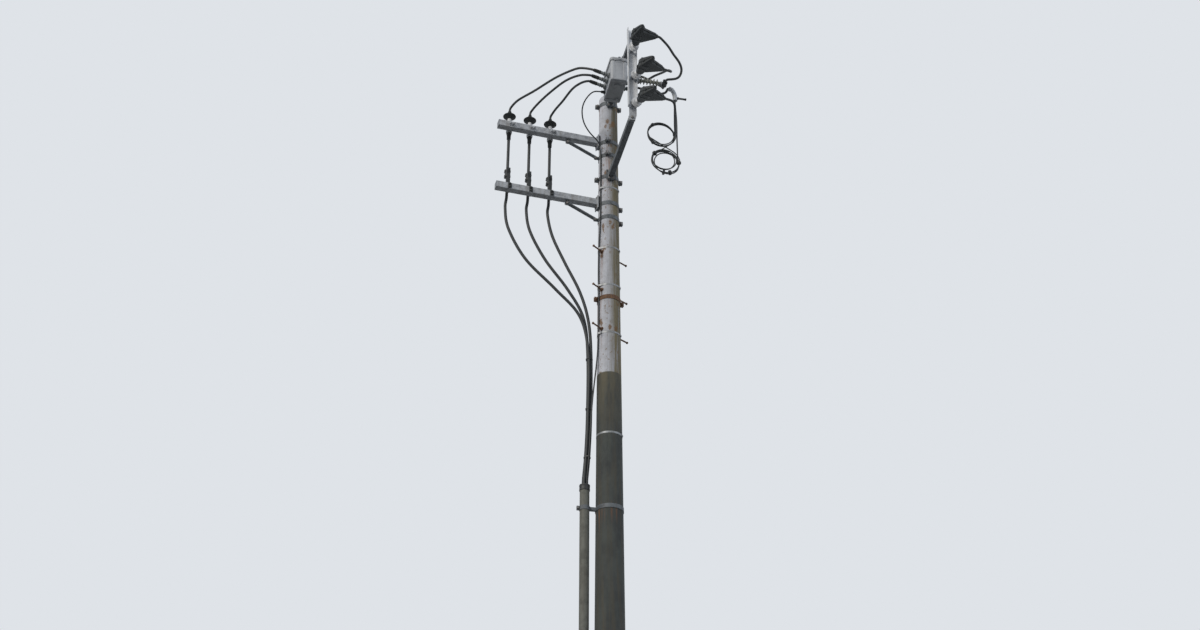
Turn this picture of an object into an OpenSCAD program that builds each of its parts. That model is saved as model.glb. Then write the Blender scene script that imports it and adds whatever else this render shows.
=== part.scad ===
// Concrete utility pole with a cable head: a D-shaped arm that ends three line wires, a switch
// hung in it, and two side arms that carry three cable terminations. Millimetres, +Z up.
// The origin is the middle of the pole at ground level. The D-shaped arm points along -Y and the
// side arms along -X.

/* [Pole] */
// Height of the pole above the ground
pole_h = 12500; // [11500:100:13500]
// Diameter of the pole at its top
pole_top_d = 190; // [180:5:210]
// Length over which the pole gets 1 mm thicker
taper = 75; // [65:5:90]
// Height of the domed cap on the pole
cap_h = 26; // [15:1:40]

/* [Side arms] */
// How far the side arms are turned from -X towards -Y, in degrees
side_turn = 5; // [3:1:8]
// Distance from the pole's axis to the tip of a side arm
side_reach = 1180; // [1150:10:1300]
// Side of the square tube of a side arm
side_w = 75; // [65:5:85]
// Wall of the side arm's tube
side_wall = 3.2; // [2:0.1:5]
// Distance from the pole's top down to the upper side arm
upper_arm_drop = 580; // [560:10:620]
// Distance between the two side arms
side_spacing = 780; // [740:10:840]
// Distance from the pole's axis to the tie's end on the arm
tie_reach = 440; // [400:10:480]
// Distance from the arm's axis down to the tie's end on the pole
tie_drop = 205; // [195:1:230]
// Width of the tie's angle bar
tie_w = 40; // [34:1:45]
// Thickness of the tie's angle bar
tie_t = 5; // [4:0.5:7]

/* [Bands] */
// Height of a pole band
band_h = 45; // [38:1:50]
// Thickness of a pole band
band_t = 4.5; // [3:0.5:6]
// Thickness of an arm's end plate
plate_t = 9; // [6:1:12]
// Width of an arm's end plate
plate_w = 96; // [90:2:100]

/* [D arm] */
// Distance from the pole's axis to the back of the upright channel
d_reach = 1078; // [1040:2:1110]
// Distance from the pole's top down to the upper beam
d_upper_drop = 100; // [80:5:120]
// Distance from the pole's top down to the lower beam
d_lower_drop = 1060; // [1030:10:1090]
// Side of the square tube of the beams
beam_w = 60; // [50:5:70]
// Wall of the beams
beam_wall = 4; // [3:0.5:6]
// Width of the upright channel
post_w = 90; // [80:5:100]
// Depth of the upright channel
post_d = 50; // [40:5:60]
// Thickness of the upright channel
post_t = 5; // [4:0.5:7]
// How far the upright channel rises above the upper beam
post_rise = 150; // [100:10:200]
// How far the upright channel runs on below the bottom wire
post_foot = 20; // [18:1:40]

/* [Line gear] */
// Distance between the line wires on the upright channel
wire_spacing = 345; // [330:5:360]
// Distance from the upper beam's axis down to the top wire
wire_drop = 130; // [120:5:140]
// Diameter of a strain insulator's sheds
shed_d = 96; // [84:2:104]
// Length of a strain insulator
strain_l = 110; // [100:5:120]
// Distance from the middle wire down to the jumper insulator
jumper_drop = 32; // [20:2:44]
// Length of the jumper insulator
jumper_l = 255; // [245:5:265]

/* [Switch] */
// Width of the switch tank
switch_w = 170; // [160:2:180]
// Length of the switch tank
switch_l = 365; // [345:5:385]
// Height of the switch tank with its lid
switch_h = 285; // [270:5:300]
// Distance from the pole's axis to the middle of the switch
switch_out = 705; // [690:5:720]
// Distance from the D arm's middle plane to the middle of the switch
switch_side = 82; // [74:2:90]
// Distance between the leads of the switch
lead_spacing = 90; // [85:1:95]
// Diameter of a switch lead
lead_d = 24; // [20:1:27]

/* [Cable head] */
// Distance from the arm's tip to the outer termination
term_first = 134; // [120:2:160]
// Distance between the terminations
term_spacing = 219; // [210:1:228]
// Diameter of the termination's rain shed
rain_d = 142; // [120:2:160]
// Diameter of the drop cables
cable_d = 30; // [26:1:31]

/* [Riser] */
// Outer diameter of the riser conduit
riser_d = 89; // [86:1:96]
// Wall of the riser conduit
riser_wall = 4; // [3:0.5:4.5]
// Height of the riser conduit's mouth above the ground
riser_h = 7960; // [7860:20:8060]
// Distance from the pole's axis to the riser conduit's axis
riser_out = 232; // [231:1:236]

/* [Step bolts] */
// Distance from the pole's top down to the lowest pair of step bolts
step_drop = 2885; // [2830:5:2940]
// Distance between one pair of step bolts and the next
step_pitch = 450; // [430:10:460]
// Diameter of a step bolt
step_d = 16; // [12:1:20]
// How far a step bolt stands out of the pole
step_l = 140; // [120:5:180]

/* [Hidden] */

$fn = 48;
seat = 0.3;
over = 1;

// Heights above the ground
upper_arm_z = pole_h - upper_arm_drop;
lower_arm_z = upper_arm_z - side_spacing;
d_upper_z = pole_h - d_upper_drop;
d_lower_z = pole_h - d_lower_drop;
wire_top_z = d_upper_z - wire_drop;
step_band_z = pole_h - 2525;
// A height between the riser's mouth, at 0, and the rusty band, at 1
function fall(k) = riser_h + k * (step_band_z - riser_h);

galvanised = "#aeb4bb";
concrete = "#a9a8a4";
black = "#262b2d";

// Radius of the pole at a height
function pole_r(z) = (pole_top_d + (pole_h - z) / taper) / 2;

function unit(v) = v / norm(v);
function turn_z(a, v) = [v[0] * cos(a) - v[1] * sin(a), v[0] * sin(a) + v[1] * cos(a), v[2]];
function turn_y(a, v) = [v[0] * cos(a) + v[2] * sin(a), v[1], v[2] * cos(a) - v[0] * sin(a)];

// A route through hand-set points, rounded between them
function curve(a, b, c, d, t) =
    0.5 * (2 * b + (c - a) * t + (2 * a - 5 * b + 4 * c - d) * t * t + (3 * b - a - 3 * c + d) * t * t * t);
function smooth(p, n) = concat(
    [for (i = [0 : len(p) - 2], k = [0 : n - 1])
        curve(p[max(i - 1, 0)], p[i], p[i + 1], p[min(i + 2, len(p) - 1)], k / n)],
    [p[len(p) - 1]]);
// The first and the last stretch stay straight, square to what the cord comes out of
function route(start, middle, end, n) =
    concat([start[0]], smooth(concat([start[1]], middle, [end[0]]), n), [end[1]]);

// Carries one sideways direction along a route without twisting it
function carried(ahead, i, u) = i == len(ahead) ? [] :
    let (w = unit(u - (u * ahead[i]) * ahead[i])) concat([w], carried(ahead, i + 1, w));

// A round tube along a list of points, with one ring of corners at each point
module sweep(points, d, sides = 10) {
    n = len(points);
    ahead = [for (i = [0 : n - 1])
        unit(points[min(i + 1, n - 1)] - points[max(i - 1, 0)])];
    first_side = abs(ahead[0][1]) > 0.7 ? [0, 0, 1] : [0, 1, 0];
    side = carried(ahead, 0, first_side);
    corners = [for (i = [0 : n - 1])
        let (u = side[i], v = cross(ahead[i], u))
        for (k = [0 : sides - 1])
            points[i] + d / 2 * (cos(360 * k / sides) * u + sin(360 * k / sides) * v)];
    walls = [for (i = [0 : n - 2], k = [0 : sides - 1], half = [0, 1])
        let (a = i * sides + k, b = i * sides + (k + 1) % sides)
        half == 0 ? [a, a + sides, b + sides] : [a, b + sides, b]];
    first = [for (k = [0 : sides - 1]) k];
    last = [for (k = [sides - 1 : -1 : 0]) (n - 1) * sides + k];
    polyhedron(points = corners, faces = concat([first], walls, [last]), convexity = 6);
}

// Part of a thin-walled cone that lies on the pole
module pole_wrap(z, h, t) {
    z0 = z - h / 2;
    z1 = z + h / 2;
    rotate_extrude()
        polygon([[pole_r(z0) + seat, z0], [pole_r(z0) + seat + t, z0],
                 [pole_r(z1) + seat + t, z1], [pole_r(z1) + seat, z1]]);
}

// The cone along the middle of a band's wall: what is welded to the band starts there
function weld_r(z) = pole_r(z) + seat + band_t / 2;
module weld_bore(z, h) {
    translate([0, 0, z - h]) cylinder(r1 = weld_r(z - h), r2 = weld_r(z + h), h = 2 * h);
}

// A bolt with its head's seat at the origin, its shank along -Z and a nut at the grip's far end
module hex_bolt(d, grip) {
    nut = d * 0.8;
    cylinder(d = d * 1.75, h = d * 0.65, $fn = 6);
    translate([0, 0, -grip - nut - d * 0.5]) cylinder(d = d, h = grip + nut + d * 0.5 + over);
    translate([0, 0, -grip - nut]) cylinder(d = d * 1.75, h = nut, $fn = 6);
}

// A square with rounded corners
module rounded_square(w, r) {
    hull()
        for (x = [-w / 2 + r, w / 2 - r], y = [-w / 2 + r, w / 2 - r])
            translate([x, y]) circle(r = r, $fn = 16);
}

// A pole band with a bolted pair of ears at each given turn
band_bolt_d = 16;
ear_l = 38;
ear_t = 7;
ear_gap = 12;
module pole_band(z, ears, h = band_h) {
    r = pole_r(z) + seat;
    difference() {
        union() {
            pole_wrap(z, h, band_t);
            for (a = ears) rotate([0, 0, a])
                translate([weld_r(z), -ear_gap / 2 - ear_t, z - h / 2])
                    cube([ear_l + band_t / 2, 2 * ear_t + ear_gap, h]);
        }
        for (a = ears) rotate([0, 0, a])
            translate([r - over, -ear_gap / 2, z - h / 2 - over])
                cube([ear_l + 2 * band_t + 2 * over, ear_gap, h + 2 * over]);
    }
    for (a = ears) rotate([0, 0, a])
        translate([r + ear_l * 0.6, -ear_gap / 2 - ear_t, z])
            rotate([90, 0, 0])
                hex_bolt(band_bolt_d, 2 * ear_t + ear_gap);
}

// A flat pad along +X on a band, which an arm's end plate is bolted to: two bolts above the arm's
// tube and two below it
pad_w = 60;
pad_reach = 16;
plate_bolt_d = 12;
plate_bolt_l = 10;
function pad_face(z) = pole_r(z) + seat + pad_reach;
function plate_bolts(w) = [for (y = [-20, 20], z = [-w / 2 - 14, w / 2 + 14]) [y, z]];

module band_pad(z, face, w, h) {
    difference() {
        translate([0, -pad_w / 2, z - h / 2]) cube([face, pad_w, h]);
        weld_bore(z, h);
        for (p = plate_bolts(w))
            translate([face - plate_bolt_l - seat, p[0], z + p[1]]) rotate([0, 90, 0])
                cylinder(d = plate_bolt_d + 2 * seat, h = plate_bolt_l + seat + over);
    }
}

// A square tube along +X from x0 to x1, closed by a bolted end plate at x0
tube_r = 7;
module arm_tube(x0, x1, w, wall, plate_h) {
    translate([x0 + plate_t / 2, 0, 0]) rotate([0, 90, 0])
        linear_extrude(x1 - x0 - plate_t / 2)
            difference() {
                rounded_square(w, tube_r);
                rounded_square(w - 2 * wall, tube_r - wall);
            }
    translate([x0, -plate_w / 2, -plate_h / 2]) cube([plate_t, plate_w, plate_h]);
    for (p = plate_bolts(w))
        translate([x0 - plate_bolt_l, p[0], p[1]]) rotate([0, 90, 0]) {
            cylinder(d = plate_bolt_d, h = plate_bolt_l + over);
            translate([0, 0, plate_bolt_l + plate_t - over])
                cylinder(d = plate_bolt_d * 1.75, h = plate_bolt_d * 0.65 + over, $fn = 6);
        }
}

// Side arms, each with a lug below for its tie
lug_t = 6;
lug_pin = 28;
tie_bolt_d = 14;
band_below = 33;
upper_pad = pad_face(upper_arm_z - band_below);
lower_pad = pad_face(lower_arm_z - band_below);
upper_face = upper_pad + seat;
lower_face = lower_pad + seat;
side_plate_h = side_w + 75;
// Bolts that hold brackets to the arms: places along the arm and up from its axis
arm_bolt_d = 12;
upper_arm_bolts = [for (i = [0 : 2], dx = [-15, 15]) [term_s(i) + dx, 0]];
lower_arm_bolts = [for (i = [0 : 2], dz = [-17, 17]) [term_s(i), dz]];

module lug_hole(x, z) {
    translate([x, lug_t, z]) rotate([90, 0, 0]) cylinder(d = tie_bolt_d + 2 * seat, h = 2 * lug_t);
}

module side_arm(z, face, bolts) {
    lug_w = 44;
    lug_z = -side_w / 2 - lug_pin;
    color(galvanised)
    rotate([0, 0, 180 + side_turn])
    translate([0, 0, z])
        difference() {
            union() {
                arm_tube(face, side_reach, side_w, side_wall, side_plate_h);
                translate([tie_reach - lug_w / 2, -lug_t / 2, lug_z - lug_w / 2])
                    cube([lug_w, lug_t, lug_w / 2 + lug_pin + over]);
            }
            lug_hole(tie_reach, lug_z);
            for (p = bolts)
                translate([p[0], side_w, p[1]]) rotate([90, 0, 0])
                    cylinder(d = arm_bolt_d + 2 * seat, h = 2 * side_w);
        }
}

module upper_side_arm() { side_arm(upper_arm_z, upper_face, upper_arm_bolts); }
module lower_side_arm() { side_arm(lower_arm_z, lower_face, lower_arm_bolts); }

// Bolts through the arm, along +Y from a bracket's back, with a plate under their nuts
module arm_bolts(bolts, washer_w, washer_h) {
    washer_t = 5;
    face = side_w / 2 + seat;
    for (p = bolts)
        translate([p[0], -face - over, p[1]]) rotate([-90, 0, 0]) {
            cylinder(d = arm_bolt_d, h = 2 * face + 2 * over + washer_t + arm_bolt_d * 1.3);
            translate([0, 0, 2 * face + over + washer_t - over])
                cylinder(d = arm_bolt_d * 1.75, h = arm_bolt_d * 0.8 + over, $fn = 6);
        }
    middle = (bolts[0] + bolts[1]) / 2;
    translate([middle[0] - washer_w / 2, face, middle[1] - washer_h / 2])
        cube([washer_w, washer_t, washer_h]);
}

module side_arm_caps() {
    cap_t = 4;
    lip = 14;
    inner = side_w - 2 * side_wall - 2 * seat;
    inner_r = tube_r - side_wall;
    color("#8d9299")
    for (z = [upper_arm_z, lower_arm_z])
        rotate([0, 0, 180 + side_turn]) {
            translate([side_reach + seat, 0, z]) rotate([0, 90, 0])
                linear_extrude(cap_t) rounded_square(side_w, tube_r);
            translate([side_reach - lip, 0, z]) rotate([0, 90, 0])
                linear_extrude(lip + seat + cap_t / 2) rounded_square(inner, inner_r);
        }
}

// The tie is an angle bar, bolted to the side of both lugs
foot_reach = 34;
module arm_tie(z, face) {
    end = 20;
    top = [tie_reach, z - side_w / 2 - lug_pin];
    foot = [face + foot_reach, z - tie_drop];
    run = top - foot;
    color(galvanised)
    rotate([0, 0, 180 + side_turn])
        translate([foot[0], lug_t / 2 + seat, foot[1]])
            rotate([0, -atan2(run[1], run[0]), 0]) {
                translate([-end, 0, -tie_w / 2]) cube([norm(run) + 2 * end, tie_t, tie_w]);
                translate([end, 0, -tie_w / 2]) cube([norm(run) - 2 * end, tie_w, tie_t]);
                for (x = [0, norm(run)])
                    translate([x, tie_t, 0]) rotate([-90, 0, 0])
                        hex_bolt(tie_bolt_d, tie_t + lug_t + 2 * seat);
            }
}

module upper_arm_tie() { arm_tie(upper_arm_z, pole_r(upper_arm_z - tie_drop)); }
module lower_arm_tie() { arm_tie(lower_arm_z, pole_r(lower_arm_z - tie_drop)); }

// Each side arm has one band with a pad for its end plate and one with a lug for its tie
module arm_bands(z, face, ears) {
    tie_z = z - tie_drop;
    lug_x = pole_r(tie_z) + foot_reach;
    lug_r = 20;
    color(galvanised)
    rotate([0, 0, 180 + side_turn]) {
        pole_band(z - band_below, ears);
        band_pad(z, face, side_w, side_plate_h);
        pole_band(tie_z, ears);
        difference() {
            translate([weld_r(tie_z), -lug_t / 2, tie_z - lug_r])
                cube([lug_x + lug_r - weld_r(tie_z), lug_t, 2 * lug_r]);
            lug_hole(lug_x, tie_z);
        }
    }
}

module upper_arm_bands() { arm_bands(upper_arm_z, upper_pad, [68]); }
module lower_arm_bands() { arm_bands(lower_arm_z, lower_pad, [180]); }

// D arm
d_face_upper = pad_face(d_upper_z) + seat;
d_face_lower = pad_face(d_lower_z) + seat;
d_plate_h = beam_w + 60;
joint_w = 60;
joint_h = beam_w + 70;
// Bolts through the channel's web, which starts this far from the pole's axis
web_bolt_d = 16;
web_back = d_reach + seat;
web_front = web_back + post_t;
joint_bolt_z = wire_z(2) + 36;
beam_bolt = beam_w / 2 + 17;
post_foot_z = wire_z(2) - post_foot;
post_top_z = d_upper_z + post_rise;

// A bolt along -X from its head in front of the web to a nut behind whatever it holds
module web_bolt(back) {
    nut = web_bolt_d * 0.8;
    rotate([0, 90, 0]) {
        translate([0, 0, web_front + seat])
            cylinder(d = web_bolt_d * 1.75, h = web_bolt_d * 0.65, $fn = 6);
        translate([0, 0, back - nut - 8]) cylinder(d = web_bolt_d, h = web_front + over - back + nut + 8);
        translate([0, 0, back - nut]) cylinder(d = web_bolt_d * 1.75, h = nut + over, $fn = 6);
    }
}

module d_upper_beam() {
    color(galvanised)
    rotate([0, 0, -90]) translate([0, 0, d_upper_z]) {
        arm_tube(d_face_upper, d_reach - plate_t / 2, beam_w, beam_wall, d_plate_h);
        translate([d_reach - plate_t, -joint_w / 2, -joint_h / 2])
            cube([plate_t, joint_w, joint_h]);
        for (dz = [-beam_bolt, beam_bolt])
            translate([0, 0, dz]) web_bolt(d_reach - plate_t);
    }
}

// The lower beam is closed at its tip by a plate that takes the strap's bolt
tip_t = 12;
tip_bolt_l = 9;
module d_lower_beam() {
    tip = d_reach - plate_t - seat;
    color("#7b8188")
    rotate([0, 0, -90]) translate([0, 0, d_lower_z])
        difference() {
            union() {
                arm_tube(d_face_lower, tip - tip_t / 2, beam_w, beam_wall, d_plate_h);
                translate([tip - tip_t, 0, 0]) rotate([0, 90, 0])
                    linear_extrude(tip_t) rounded_square(beam_w, tube_r);
            }
            translate([tip - tip_bolt_l, 0, 0]) rotate([0, 90, 0])
                cylinder(d = web_bolt_d + 2 * seat, h = tip_bolt_l + over);
        }
}

// A bent strap that carries the foot of the upright channel in front of the lower beam
module d_lower_joint() {
    bulge = 14;
    foot = post_foot_z - d_lower_z - 20;
    top = wire_z(2) + 60 - d_lower_z;
    color(galvanised) {
        translate([0, -d_reach + plate_t, d_lower_z])
            rotate([90, 0, 0])
                linear_extrude(plate_t)
                    difference() {
                        polygon([[-joint_w / 2, -beam_w / 2], [joint_w / 2, -beam_w / 2],
                                 [joint_w / 2 + bulge, beam_w / 2], [joint_w / 2 + bulge, foot],
                                 [joint_w / 2, top], [-joint_w / 2, top]]);
                        translate([0, wire_z(2) - d_lower_z]) circle(d = web_bolt_d + 2 * seat);
                    }
        rotate([0, 0, -90]) {
            translate([0, 0, joint_bolt_z]) web_bolt(d_reach - plate_t);
            translate([d_reach - plate_t - tip_bolt_l, 0, d_lower_z]) rotate([0, 90, 0]) {
                cylinder(d = web_bolt_d, h = tip_bolt_l + over);
                translate([0, 0, tip_bolt_l + plate_t - over])
                    cylinder(d = web_bolt_d * 1.75, h = web_bolt_d * 0.65 + over, $fn = 6);
            }
        }
    }
}

// The channel has a hole for each bolt in its web and one in its right flange
module d_upright() {
    hole_d = web_bolt_d + 2 * seat;
    color("#c3c9d1")
    difference() {
        translate([0, -web_back, post_foot_z])
            linear_extrude(post_top_z - post_foot_z)
                polygon([[-post_w / 2, 0], [-post_w / 2, -post_d], [-post_w / 2 + post_t, -post_d],
                         [-post_w / 2 + post_t, -post_t], [post_w / 2 - post_t, -post_t],
                         [post_w / 2 - post_t, -post_d], [post_w / 2, -post_d], [post_w / 2, 0]]);
        for (z = [wire_z(0), wire_z(1), wire_z(2), joint_bolt_z,
                  d_upper_z - beam_bolt, d_upper_z + beam_bolt])
            translate([0, -web_back + over, z]) rotate([90, 0, 0])
                cylinder(d = hole_d, h = post_t + 2 * over);
        translate([post_w / 2 - post_t - over, jump_y, jump_z]) rotate([0, 90, 0])
            cylinder(d = hole_d, h = post_t + 2 * over);
    }
}

module d_upper_band() {
    color(galvanised) rotate([0, 0, -90]) {
        pole_band(d_upper_z, [90, -90]);
        band_pad(d_upper_z, pad_face(d_upper_z), beam_w, d_plate_h);
    }
}
module d_lower_band() {
    color(galvanised) rotate([0, 0, -90]) {
        pole_band(d_lower_z, [90, -90]);
        band_pad(d_lower_z, pad_face(d_lower_z), beam_w, d_plate_h);
    }
}

// Line gear: each strain insulator pulls away from the channel's web, turned towards +X and
// drooping a little
wire_turns = [0, 13, 15];
wire_tilts = [8, 11, 13];
link_l = 46;
link_w = 32;
link_t = 8;
boss_t = 6;
wire_y = -web_front - seat;
function wire_z(i) = wire_top_z - i * wire_spacing;
// A place or a direction given along the wire, to its right and upwards
function wire_dir(i, v) = turn_z(-90 + wire_turns[i], turn_y(wire_tilts[i], v));
function wire_at(i, v) = [0, wire_y, wire_z(i)] + wire_dir(i, v);

module at_wire(i) {
    translate([0, wire_y, wire_z(i)])
        rotate([0, 0, -90 + wire_turns[i]])
            rotate([0, wire_tilts[i], 0])
                children();
}

// The nut sits behind the web, and the bottom one behind the strap too
function nut_y(i) = i == 2 ? -d_reach + plate_t + seat : -d_reach;
fork_s = 20;
fork_t = 5;
pin_s = 31;
pin_d = 11;
module strain_insulator(i) {
    neck = 20;
    collar = 22;
    shed_t = 6;
    color("#d9dce0") {
        translate([-link_w / 2, wire_y - boss_t, wire_z(i) - link_w / 2])
            cube([link_w, boss_t, link_w]);
        translate([0, wire_y - over, wire_z(i)]) rotate([-90, 0, 0])
            cylinder(d = web_bolt_d, h = nut_y(i) - wire_y + web_bolt_d * 0.8 + 8);
        translate([0, nut_y(i), wire_z(i)]) rotate([-90, 0, 0])
            cylinder(d = web_bolt_d * 1.75, h = web_bolt_d * 0.8, $fn = 6);
        at_wire(i) {
            translate([boss_t - 1, -link_t / 2, -link_w * 0.4])
                cube([link_l - boss_t + 2, link_t, link_w * 0.8]);
            for (y = [-link_t / 2 - fork_t, link_t / 2])
                translate([fork_s, y, -link_w * 0.4])
                    cube([link_l - fork_s + over, fork_t, link_w * 0.8]);
            translate([pin_s, link_t / 2 + fork_t, 0]) rotate([-90, 0, 0])
                hex_bolt(pin_d, link_t + 2 * fork_t);
            translate([link_l, 0, 0]) rotate([0, 90, 0]) rotate_extrude()
                polygon([[0, 0], [collar, 0], [collar, 12], [neck, 16],
                         [shed_d / 2, 28], [shed_d / 2, 28 + shed_t], [neck, 38], [neck, 48],
                         [shed_d / 2, 60], [shed_d / 2, 60 + shed_t], [neck, 70],
                         [neck, strain_l - 16], [collar, strain_l - 12], [collar, strain_l],
                         [0, strain_l]]);
        }
    }
}

module strain_insulator_top() { strain_insulator(0); }
module strain_insulator_middle() { strain_insulator(1); }
module strain_insulator_bottom() { strain_insulator(2); }

// A black moulded cover over the strain clamp: from its neck it widens to a shoulder on the left
// and the jumper's outlet on the right, and narrows to the wire's outlet
cover_neck = 34;
cover_start = link_l + strain_l + seat;
wire_outlet = [284, 0];
jumper_outlet = [168, 150];
outlet_r = 26;
// Round places of the cover's outline: where, radius and height
wire_side = [[34, 0, cover_neck, 68], [150, -26, 44, 88], [wire_outlet[0], wire_outlet[1], 24, 42]];
jumper_side = [[104, 8, 40, 80], [jumper_outlet[0], jumper_outlet[1], outlet_r, 48], [218, 6, 34, 64]];
rim = 8;
module puck(p) {
    translate([p[0], p[1], -p[3] / 2 + rim]) cylinder(r = p[2], h = p[3] - 2 * rim, $fn = 24);
    translate([p[0], p[1], -p[3] / 2]) cylinder(r = p[2] - rim, h = p[3], $fn = 24);
}

// The two halves meet in a flange round the cover's middle, held by latches
seam_w = 6;
seam_t = 5;
latches = [[78, -55, -17], [214, -56, 19], [101, 94, 66], [226, 89, -71]];
module clamp_cover(i) {
    color(black)
    at_wire(i) translate([cover_start, 0, 0]) {
        hull() for (p = wire_side) puck(p);
        hull() for (p = jumper_side) puck(p);
        difference() {
            translate([0, 0, -seam_t / 2]) linear_extrude(seam_t)
                for (places = [wire_side, jumper_side])
                    hull() for (p = places) translate([p[0], p[1]]) circle(r = p[2] + seam_w, $fn = 24);
            translate([-100, -100, -seam_t]) cube([100, 400, 2 * seam_t]);
            translate([0, jumper_outlet[1] + outlet_r, -seam_t]) cube([400, 100, 2 * seam_t]);
        }
        for (p = latches)
            translate([p[0], p[1], 0]) rotate([0, 0, p[2]]) cube([24, 8, 20], center = true);
    }
}

module clamp_cover_top() { clamp_cover(0); }
module clamp_cover_middle() { clamp_cover(1); }
module clamp_cover_bottom() { clamp_cover(2); }

// Where a jumper leaves its cover, and a second place farther along the same line
function jumper_from(i, away) =
    wire_at(i, [cover_start + jumper_outlet[0], jumper_outlet[1] + outlet_r + seat + away, 0]);

// A ribbed post insulator on the channel's right flange holds a clamp for the top jumper
jump_z = wire_z(1) - jumper_drop;
jump_y = -d_reach - seat - post_d / 2;
jump_x = post_w / 2 + seat;
clamp_l = 60;
clamp_d = 50;
clamp_x = jump_x + jumper_l + seat + clamp_d / 2;
module jumper_insulator() {
    ribs = 6;
    core = 16;
    pitch = (jumper_l - 60) / ribs;
    stud_l = seat + post_t + seat + web_bolt_d * 1.3;
    color("#8b8f86")
    translate([jump_x, jump_y, jump_z]) {
        translate([-stud_l, 0, 0]) rotate([0, 90, 0]) cylinder(d = web_bolt_d, h = stud_l + over);
        translate([-post_t - 2 * seat - web_bolt_d * 0.8, 0, 0]) rotate([0, 90, 0])
            cylinder(d = web_bolt_d * 1.75, h = web_bolt_d * 0.8, $fn = 6);
        rotate([0, 90, 0]) rotate_extrude()
            polygon(concat([[0, 0], [24, 0], [24, 20], [core, 24]],
                [for (k = [0 : ribs - 1], p = [[core, 0], [36, 7], [36, 12], [core, 18]])
                    [p[0], 30 + k * pitch + p[1]]],
                [[core, jumper_l - 18], [22, jumper_l - 14], [22, jumper_l], [0, jumper_l]]));
    }
}

module jumper_clamp() {
    color("#3b4143")
    translate([clamp_x, jump_y + clamp_l / 2, jump_z])
        rotate([90, 0, 0]) {
            cylinder(d = clamp_d, h = clamp_l);
            translate([-9, -9, clamp_l / 2 - 9]) cube([18, clamp_d / 2 + 20, 18]);
        }
}

// Switch
lid_h = 32;
hanger_h = 30;
switch_top = d_upper_z - beam_w / 2 - hanger_h;
switch_foot = switch_top - switch_h;
corner = 22;
module rounded_box(w, l, h, r) {
    linear_extrude(h)
        hull()
            for (x = [-w / 2 + r, w / 2 - r], y = [-l / 2 + r, l / 2 - r])
                translate([x, y]) circle(r = r, $fn = 32);
}

module at_switch(z) {
    translate([-switch_side, -switch_out, z]) children();
}

brim = 8;
rim_h = 6;
module switch_tank() {
    tank_h = switch_h - lid_h - seat;
    color("#a3a9ae") {
        at_switch(switch_foot) rounded_box(switch_w, switch_l, tank_h, corner);
        at_switch(switch_foot + tank_h - rim_h)
            rounded_box(switch_w + 2 * brim, switch_l + 2 * brim, rim_h, corner + brim);
    }
}

module switch_lid() {
    color("#b4babf")
    at_switch(switch_top - lid_h)
        rounded_box(switch_w + 2 * brim, switch_l + 2 * brim, lid_h, corner + brim);
}

// Two blocks across the lid, each with a U-bolt over the beam above
u_bolt_d = 12;
module switch_hangers() {
    hanger_w = 40;
    leg_x = beam_w / 2 + seat + u_bolt_d / 2;
    right = leg_x + 18;
    leg_top = d_upper_z + beam_w / 2 + seat + u_bolt_d / 2;
    color(galvanised)
    for (dy = [-switch_l * 0.3, switch_l * 0.3])
        translate([0, -switch_out + dy, 0]) {
            translate([-switch_side - switch_w / 2, -hanger_w / 2, switch_top + seat])
                cube([switch_side + switch_w / 2 + right, hanger_w, hanger_h - 2 * seat]);
            for (side = [-1, 1])
                translate([side * leg_x, 0, switch_top + hanger_h / 2])
                    cylinder(d = u_bolt_d, h = leg_top - switch_top - hanger_h / 2);
            translate([-leg_x, 0, leg_top]) rotate([0, 90, 0]) cylinder(d = u_bolt_d, h = 2 * leg_x);
            for (side = [-1, 1])
                translate([side * leg_x, 0, leg_top]) sphere(d = u_bolt_d, $fn = 24);
        }
}

// Leads leave both long sides of the switch through sloping bushings with black boots
bushing_l = 92;
bushing_rise = 16;
boot_l = 74;
boot_d = 38;
boot_grip = 56;
bushing_z = switch_foot + 0.4 * switch_h;
function lead_y(i) = -switch_out + (i - 1) * lead_spacing;
// A place on a bushing's axis; side is -1 for the load side and 1 for the line side
function bushing_at(i, side, s) =
    [-switch_side + side * (switch_w / 2 + s * cos(bushing_rise)), lead_y(i),
     bushing_z + s * sin(bushing_rise)];

module at_bushing(i, side, s) {
    translate(bushing_at(i, side, s)) rotate([0, side * (90 - bushing_rise), 0]) children();
}

module bushings(side) {
    flange_r = 29;
    color("#6c7275")
    difference() {
        for (i = [0 : 2])
            at_bushing(i, side, 0) rotate_extrude()
                polygon([[0, -15], [flange_r, -15], [flange_r, 10], [17, 13], [17, 26], [23, 30],
                         [23, 34], [17, 38], [17, 50], [23, 54], [23, 58], [17, 62],
                         [17, bushing_l], [0, bushing_l]]);
        translate([-switch_side - switch_w / 2 - seat, -switch_out - switch_l, switch_foot])
            cube([switch_w + 2 * seat, 2 * switch_l, switch_h]);
    }
}
module load_bushings() { bushings(-1); }
module line_bushings() { bushings(1); }

module boots(side) {
    color(black)
    for (i = [0 : 2])
        at_bushing(i, side, bushing_l + seat)
            difference() {
                union() {
                    cylinder(d = boot_d, h = boot_l - 16);
                    translate([0, 0, boot_l - 16])
                        cylinder(d1 = boot_d, d2 = lead_d + 6, h = 16);
                }
                translate([0, 0, boot_l - boot_grip]) cylinder(d = lead_d + 2 * seat, h = boot_l);
            }
}
module load_boots() { boots(-1); }
module line_boots() { boots(1); }

// The first two places of a lead, straight along its boot's bore
function boot_start(i, side) = [
    bushing_at(i, side, bushing_l + seat + boot_l - boot_grip + seat),
    bushing_at(i, side, bushing_l + seat + boot_l + 10)];

gland = [-switch_side - switch_w / 2 - seat, -switch_out + 118, switch_foot + 66];
gland_l = 40;
module control_gland() {
    color(black)
    translate(gland)
        rotate([0, -90, 0]) {
            cylinder(d = 34, h = gland_l / 2, $fn = 6);
            cylinder(d = 24, h = gland_l);
        }
}

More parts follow.
